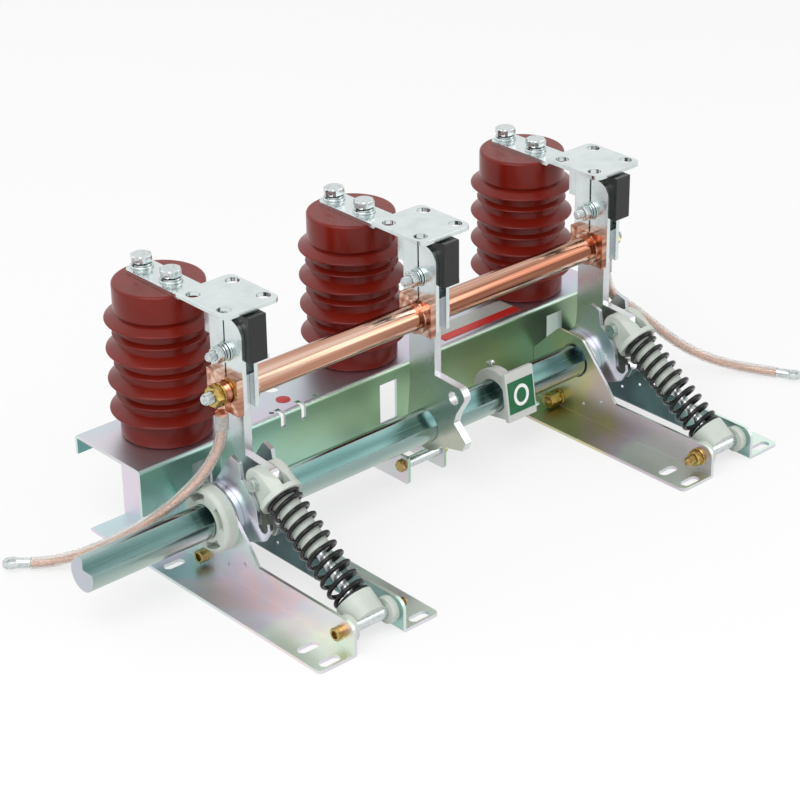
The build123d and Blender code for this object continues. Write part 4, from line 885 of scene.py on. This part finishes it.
# Compression springs: 4 mm spring steel wire, coiled cold, ends closed and ground, slid over the
# guide rods between fork and seat, where they shorten as the knives turn.
spring_wire = 4 * mm
spring_radius = 14.2 * mm
spring_turns, closed_turns = 11.5, 0.9
wire_sides, steps_each_turn = 14, 40
pin, pivot = Vector((0, 28.4, 96.1)) * mm, Vector((0, -91.5, 17.0)) * mm
spring_way = (pivot - pin).normalized()
spring_start, spring_end = 21.6 * mm, 123.9 * mm


def coil_spring():
    """A spring from z = 0 up, closed and ground flat at both ends."""
    corners, length, steps = [], spring_end - spring_start, int(spring_turns * steps_each_turn)
    open_rise = (length - spring_wire * 2 * closed_turns) / (spring_turns - 2 * closed_turns)
    for step in range(steps + 1):
        turns = spring_turns * step / steps
        closed = min(turns, closed_turns)
        closing = max(0.0, turns - (spring_turns - closed_turns))
        rise = spring_wire * (closed + closing) + open_rise * (turns - closed - closing)
        out = Vector((cos(tau * turns), sin(tau * turns), 0))
        for side in range(wire_sides):
            around = tau * side / wire_sides
            reach = out * (spring_radius + cos(around) * spring_wire / 2)
            height = min(max(rise + sin(around) * spring_wire / 2, 0.0), length)
            corners.append((reach.x, reach.y, height))
    return corners, skin(steps + 1, wire_sides)


# Dipped black lacquer: glossy, deep black, pooled a little every few millimetres of wire.
lacquer_tints = ((0.3, "#060706"), (0.7, "#0D0F0E"))
spring_lacquer, tree, shader = new_finish("black_lacquer", Roughness=0.15, Specular_IOR_Level=0.34)
pools = mottle(tree, shader, 3 * mm, 3.0, lacquer_tints)
bump = add_node(tree, "Bump", {"Height": pools, "Strength": 0.15, "Distance": 0.2 * mm})
tree.links.new(bump.outputs["Normal"], shader.inputs["Normal"])
for side_name in sides:
    beside = Vector((phases[side_name], 0, 0)) * mm
    first, last = (pin + beside + spring_way * reach for reach in (spring_start, spring_end))
    spring_part = (*coil_spring(), seated(first, spring_way))
    spring = shape(f"coil_{side_name}", [spring_part], spring_lacquer, radians(50))
    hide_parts(f"spring_{side_name}")
    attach(spring, f"seat_{side_name}")
    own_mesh(spring)

# Position indicator: a light grey ABS moulding, its ring clamped on the shaft by a small screw,
# with a flat upright front that leans back a little.
face_tilt = radians(8.7)
face_up = Vector((0, sin(face_tilt), cos(face_tilt)))
face_out = Vector((0, -cos(face_tilt), sin(face_tilt)))
shaft_middle = Vector((91.5, 64, 56.5)) * mm
front_half, front_foot, front_top, front_thickness = 17.5 * mm, -21 * mm, 25.4 * mm, 5 * mm
face_reach, back_reach, foot_reach = 22.8 * mm, 25.5 * mm, 21 * mm
clamp_left, clamp_right, clamp_bore = -13.5 * mm, -2.5 * mm, 15.2 * mm
clamp_front = face_reach - 3 * mm
clamp_steps = 96
moulding_edge = 0.8 * mm


def on_face(rise):
    """Seats a part by the indicator's tilt: X along the shaft, Y up the face, Z out of it by rise."""
    axes = Matrix(((1, 0, 0, 0), (0, face_up.y, face_out.y, 0), (0, face_up.z, face_out.z, 0), (0, 0, 0, 1)))
    return Matrix.Translation(shaft_middle + face_out * rise) @ axes


# Moulded ABS: light grey, satin, from a spark-eroded mould whose texture is drawn at 0.7 mm,
# coarser than it is, to show.
abs_tints = ((0.3, "#C6C9C4"), (0.7, "#D0D2CE"))
grey_abs, tree, shader = new_finish("grey_abs_moulding", IOR=1.54, Roughness=0.42)
spark = mottle(tree, shader, 0.7 * mm, 2.0, abs_tints)
bump = add_node(tree, "Bump", {"Height": spark, "Strength": 0.1, "Distance": 0.1 * mm})
tree.links.new(bump.outputs["Normal"], shader.inputs["Normal"])
corners, faces = [], []
for step in range(clamp_steps):
    angle = tau * step / clamp_steps
    up, out = sin(angle), cos(angle)
    reach = min(back_reach, clamp_front / max(out, 0.01), foot_reach / max(-up, 0.01))
    edges = ((clamp_left, clamp_bore), (clamp_left, reach), (clamp_right, reach), (clamp_right, clamp_bore))
    corners += [(x, radius * up, radius * out) for x, radius in edges]
    here, after = step * 4, (step + 1) % clamp_steps * 4
    faces += [(here + side, after + side, after + (side + 1) % 4, here + (side + 1) % 4) for side in range(4)]
clamp = (corners, faces, on_face(0))
front_low = (-front_half, front_foot, face_reach - front_thickness)
front = (*block(front_low, (front_half, front_top, face_reach)), on_face(0))
moulding = shape("indicator_moulding", [clamp, front], grey_abs)
soften(moulding, moulding_edge, 3)
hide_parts("indicator")
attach(moulding, "shaft")

# Clamp screw: M4 steel with a hexagon head, plated clear, screwed into the top of the indicator's
# ring and down on the shaft.
m4_head, screw_length, screw_x = 3 * mm, 9 * mm, 85 * mm
screw_angle = radians(112)
screw_way = Vector((0, -cos(screw_angle), sin(screw_angle)))
screw_foot = Vector((screw_x, shaft_middle.y, shaft_middle.z)) + screw_way * (back_reach - 0.6 * mm)
screw = [
    (*nut(m4, m4_head, bored=False), seated(screw_foot + screw_way * m4_head, screw_way)),
    (*threaded(m4, screw_length), seated(screw_foot + screw_way * m4_head, -screw_way)),
]
fit("clamp_screw", screw, clear_zinc, "shaft", "indicator_screw")

# Panel and ring on the indicator's face: printed polyester film, stuck on, green with a plain
# white ring.
panel_half, panel_top, panel_foot, panel_thickness = 15.6 * mm, 16.5 * mm, -13.8 * mm, 0.4 * mm
ring_outer, ring_inner, ring_rise = Vector((9.2, 10.2)) * mm, Vector((6.0, 7.0)) * mm, 1.4 * mm
ring_thickness, ring_steps = 0.15 * mm, 48
panel_edge = 0.2 * mm
panel_seat = on_face(face_reach)


def printed_film(name, tints):
    """Ink on polyester film: smooth, with a soft gloss, its tint a touch uneven over 6 mm."""
    finish, tree, shader = new_finish(name, Roughness=0.3, Coat_Weight=0.2)
    mottle(tree, shader, 6 * mm, 2.0, tints)
    return finish


green_print = printed_film("green_printed_film", ((0.3, "#086038"), (0.7, "#0E6C42")))
white_print = printed_film("white_printed_film", ((0.3, "#ECEEEC"), (0.7, "#F6F7F5")))
panel_block = block((-panel_half, panel_foot, 0), (panel_half, panel_top, panel_thickness))
panel = shape("indicator_panel", [(*panel_block, panel_seat)], green_print)
soften(panel, panel_edge, 2)
corners, faces = [], []
for step in range(ring_steps):
    angle = tau * step / ring_steps
    for size in (ring_outer, ring_inner):
        for height in (panel_thickness, panel_thickness + ring_thickness):
            corners.append((size.x * cos(angle), ring_rise + size.y * sin(angle), height))
    here, after = step * 4, (step + 1) % ring_steps * 4
    faces += [(here + a, after + a, after + b, here + b) for a, b in ((0, 1), (1, 3), (3, 2), (2, 0))]
ring = shape("indicator_ring", [(corners, faces, panel_seat)], white_print)
for piece in (panel, ring):
    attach(piece, "shaft")

# Studio: pale floor and soft lights. Metal and clear parts see a white room, brighter than the
# one that lights them.
room_light, floor_glow = 0.7, 0.7


def seen(tree):
    """1 for rays from the camera, off metal or through clear parts, and 0 for rays that light."""
    rays = add_node(tree, "LightPath").outputs
    either = add_node(tree, "Math", {0: rays["Is Camera Ray"], 1: rays["Is Glossy Ray"]}, operation="MAXIMUM")
    through = {0: either.outputs[0], 1: rays["Is Transmission Ray"]}
    return add_node(tree, "Math", through, operation="MAXIMUM").outputs[0]


def softbox(name, place, target, size, power):
    """A rectangular lamp that faces a target."""
    lamp = bpy.data.lights.new(name, "AREA")
    lamp.shape = "RECTANGLE"
    lamp.size, lamp.size_y = size
    lamp.energy = power
    holder = bpy.data.objects.new(name, lamp)
    holder.location = place
    holder.rotation_euler = (Vector(target) - Vector(place)).to_track_quat("-Z", "Y").to_euler()
    bpy.context.scene.collection.objects.link(holder)


bpy.ops.mesh.primitive_plane_add(size=30)
floor = bpy.context.object
floor.name = "floor"
white, tree, shader = new_finish("studio_floor", Roughness=0.9)
shader.inputs["Base Color"].default_value = colour("#F4F4F4")
floor.data.materials.append(white)
share = add_node(tree, "Math", {0: seen(tree), 1: floor_glow}, operation="MULTIPLY")
glow = add_node(tree, "Emission", {"Color": (1, 1, 1, 1), "Strength": 1.0})
mixed = add_node(tree, "MixShader", {0: share.outputs[0], 1: shader.outputs[0], 2: glow.outputs[0]})
tree.links.new(mixed.outputs[0], tree.nodes["Material Output"].inputs["Surface"])

world = bpy.data.worlds.new("studio")
world.use_nodes = True
tree = world.node_tree
lighting = add_node(tree, "Background", {"Color": (1, 1, 1, 1), "Strength": room_light})
white_room = add_node(tree, "Background", {"Color": (1, 1, 1, 1), "Strength": 1.0})
mixed = add_node(tree, "MixShader", {0: seen(tree), 1: lighting.outputs[0], 2: white_room.outputs[0]})
tree.links.new(mixed.outputs[0], tree.nodes["World Output"].inputs["Surface"])
bpy.context.scene.world = world
switch_middle = (0, 0, 0.1)
softbox("key", (-1.3, -0.5, 1.9), switch_middle, (1.8, 1.4), 23)
softbox("fill", (1.6, -1.4, 1.2), switch_middle, (1.2, 1.2), 8)
softbox("back", (-0.5, 1.7, 1.5), switch_middle, (2.2, 1.2), 4)
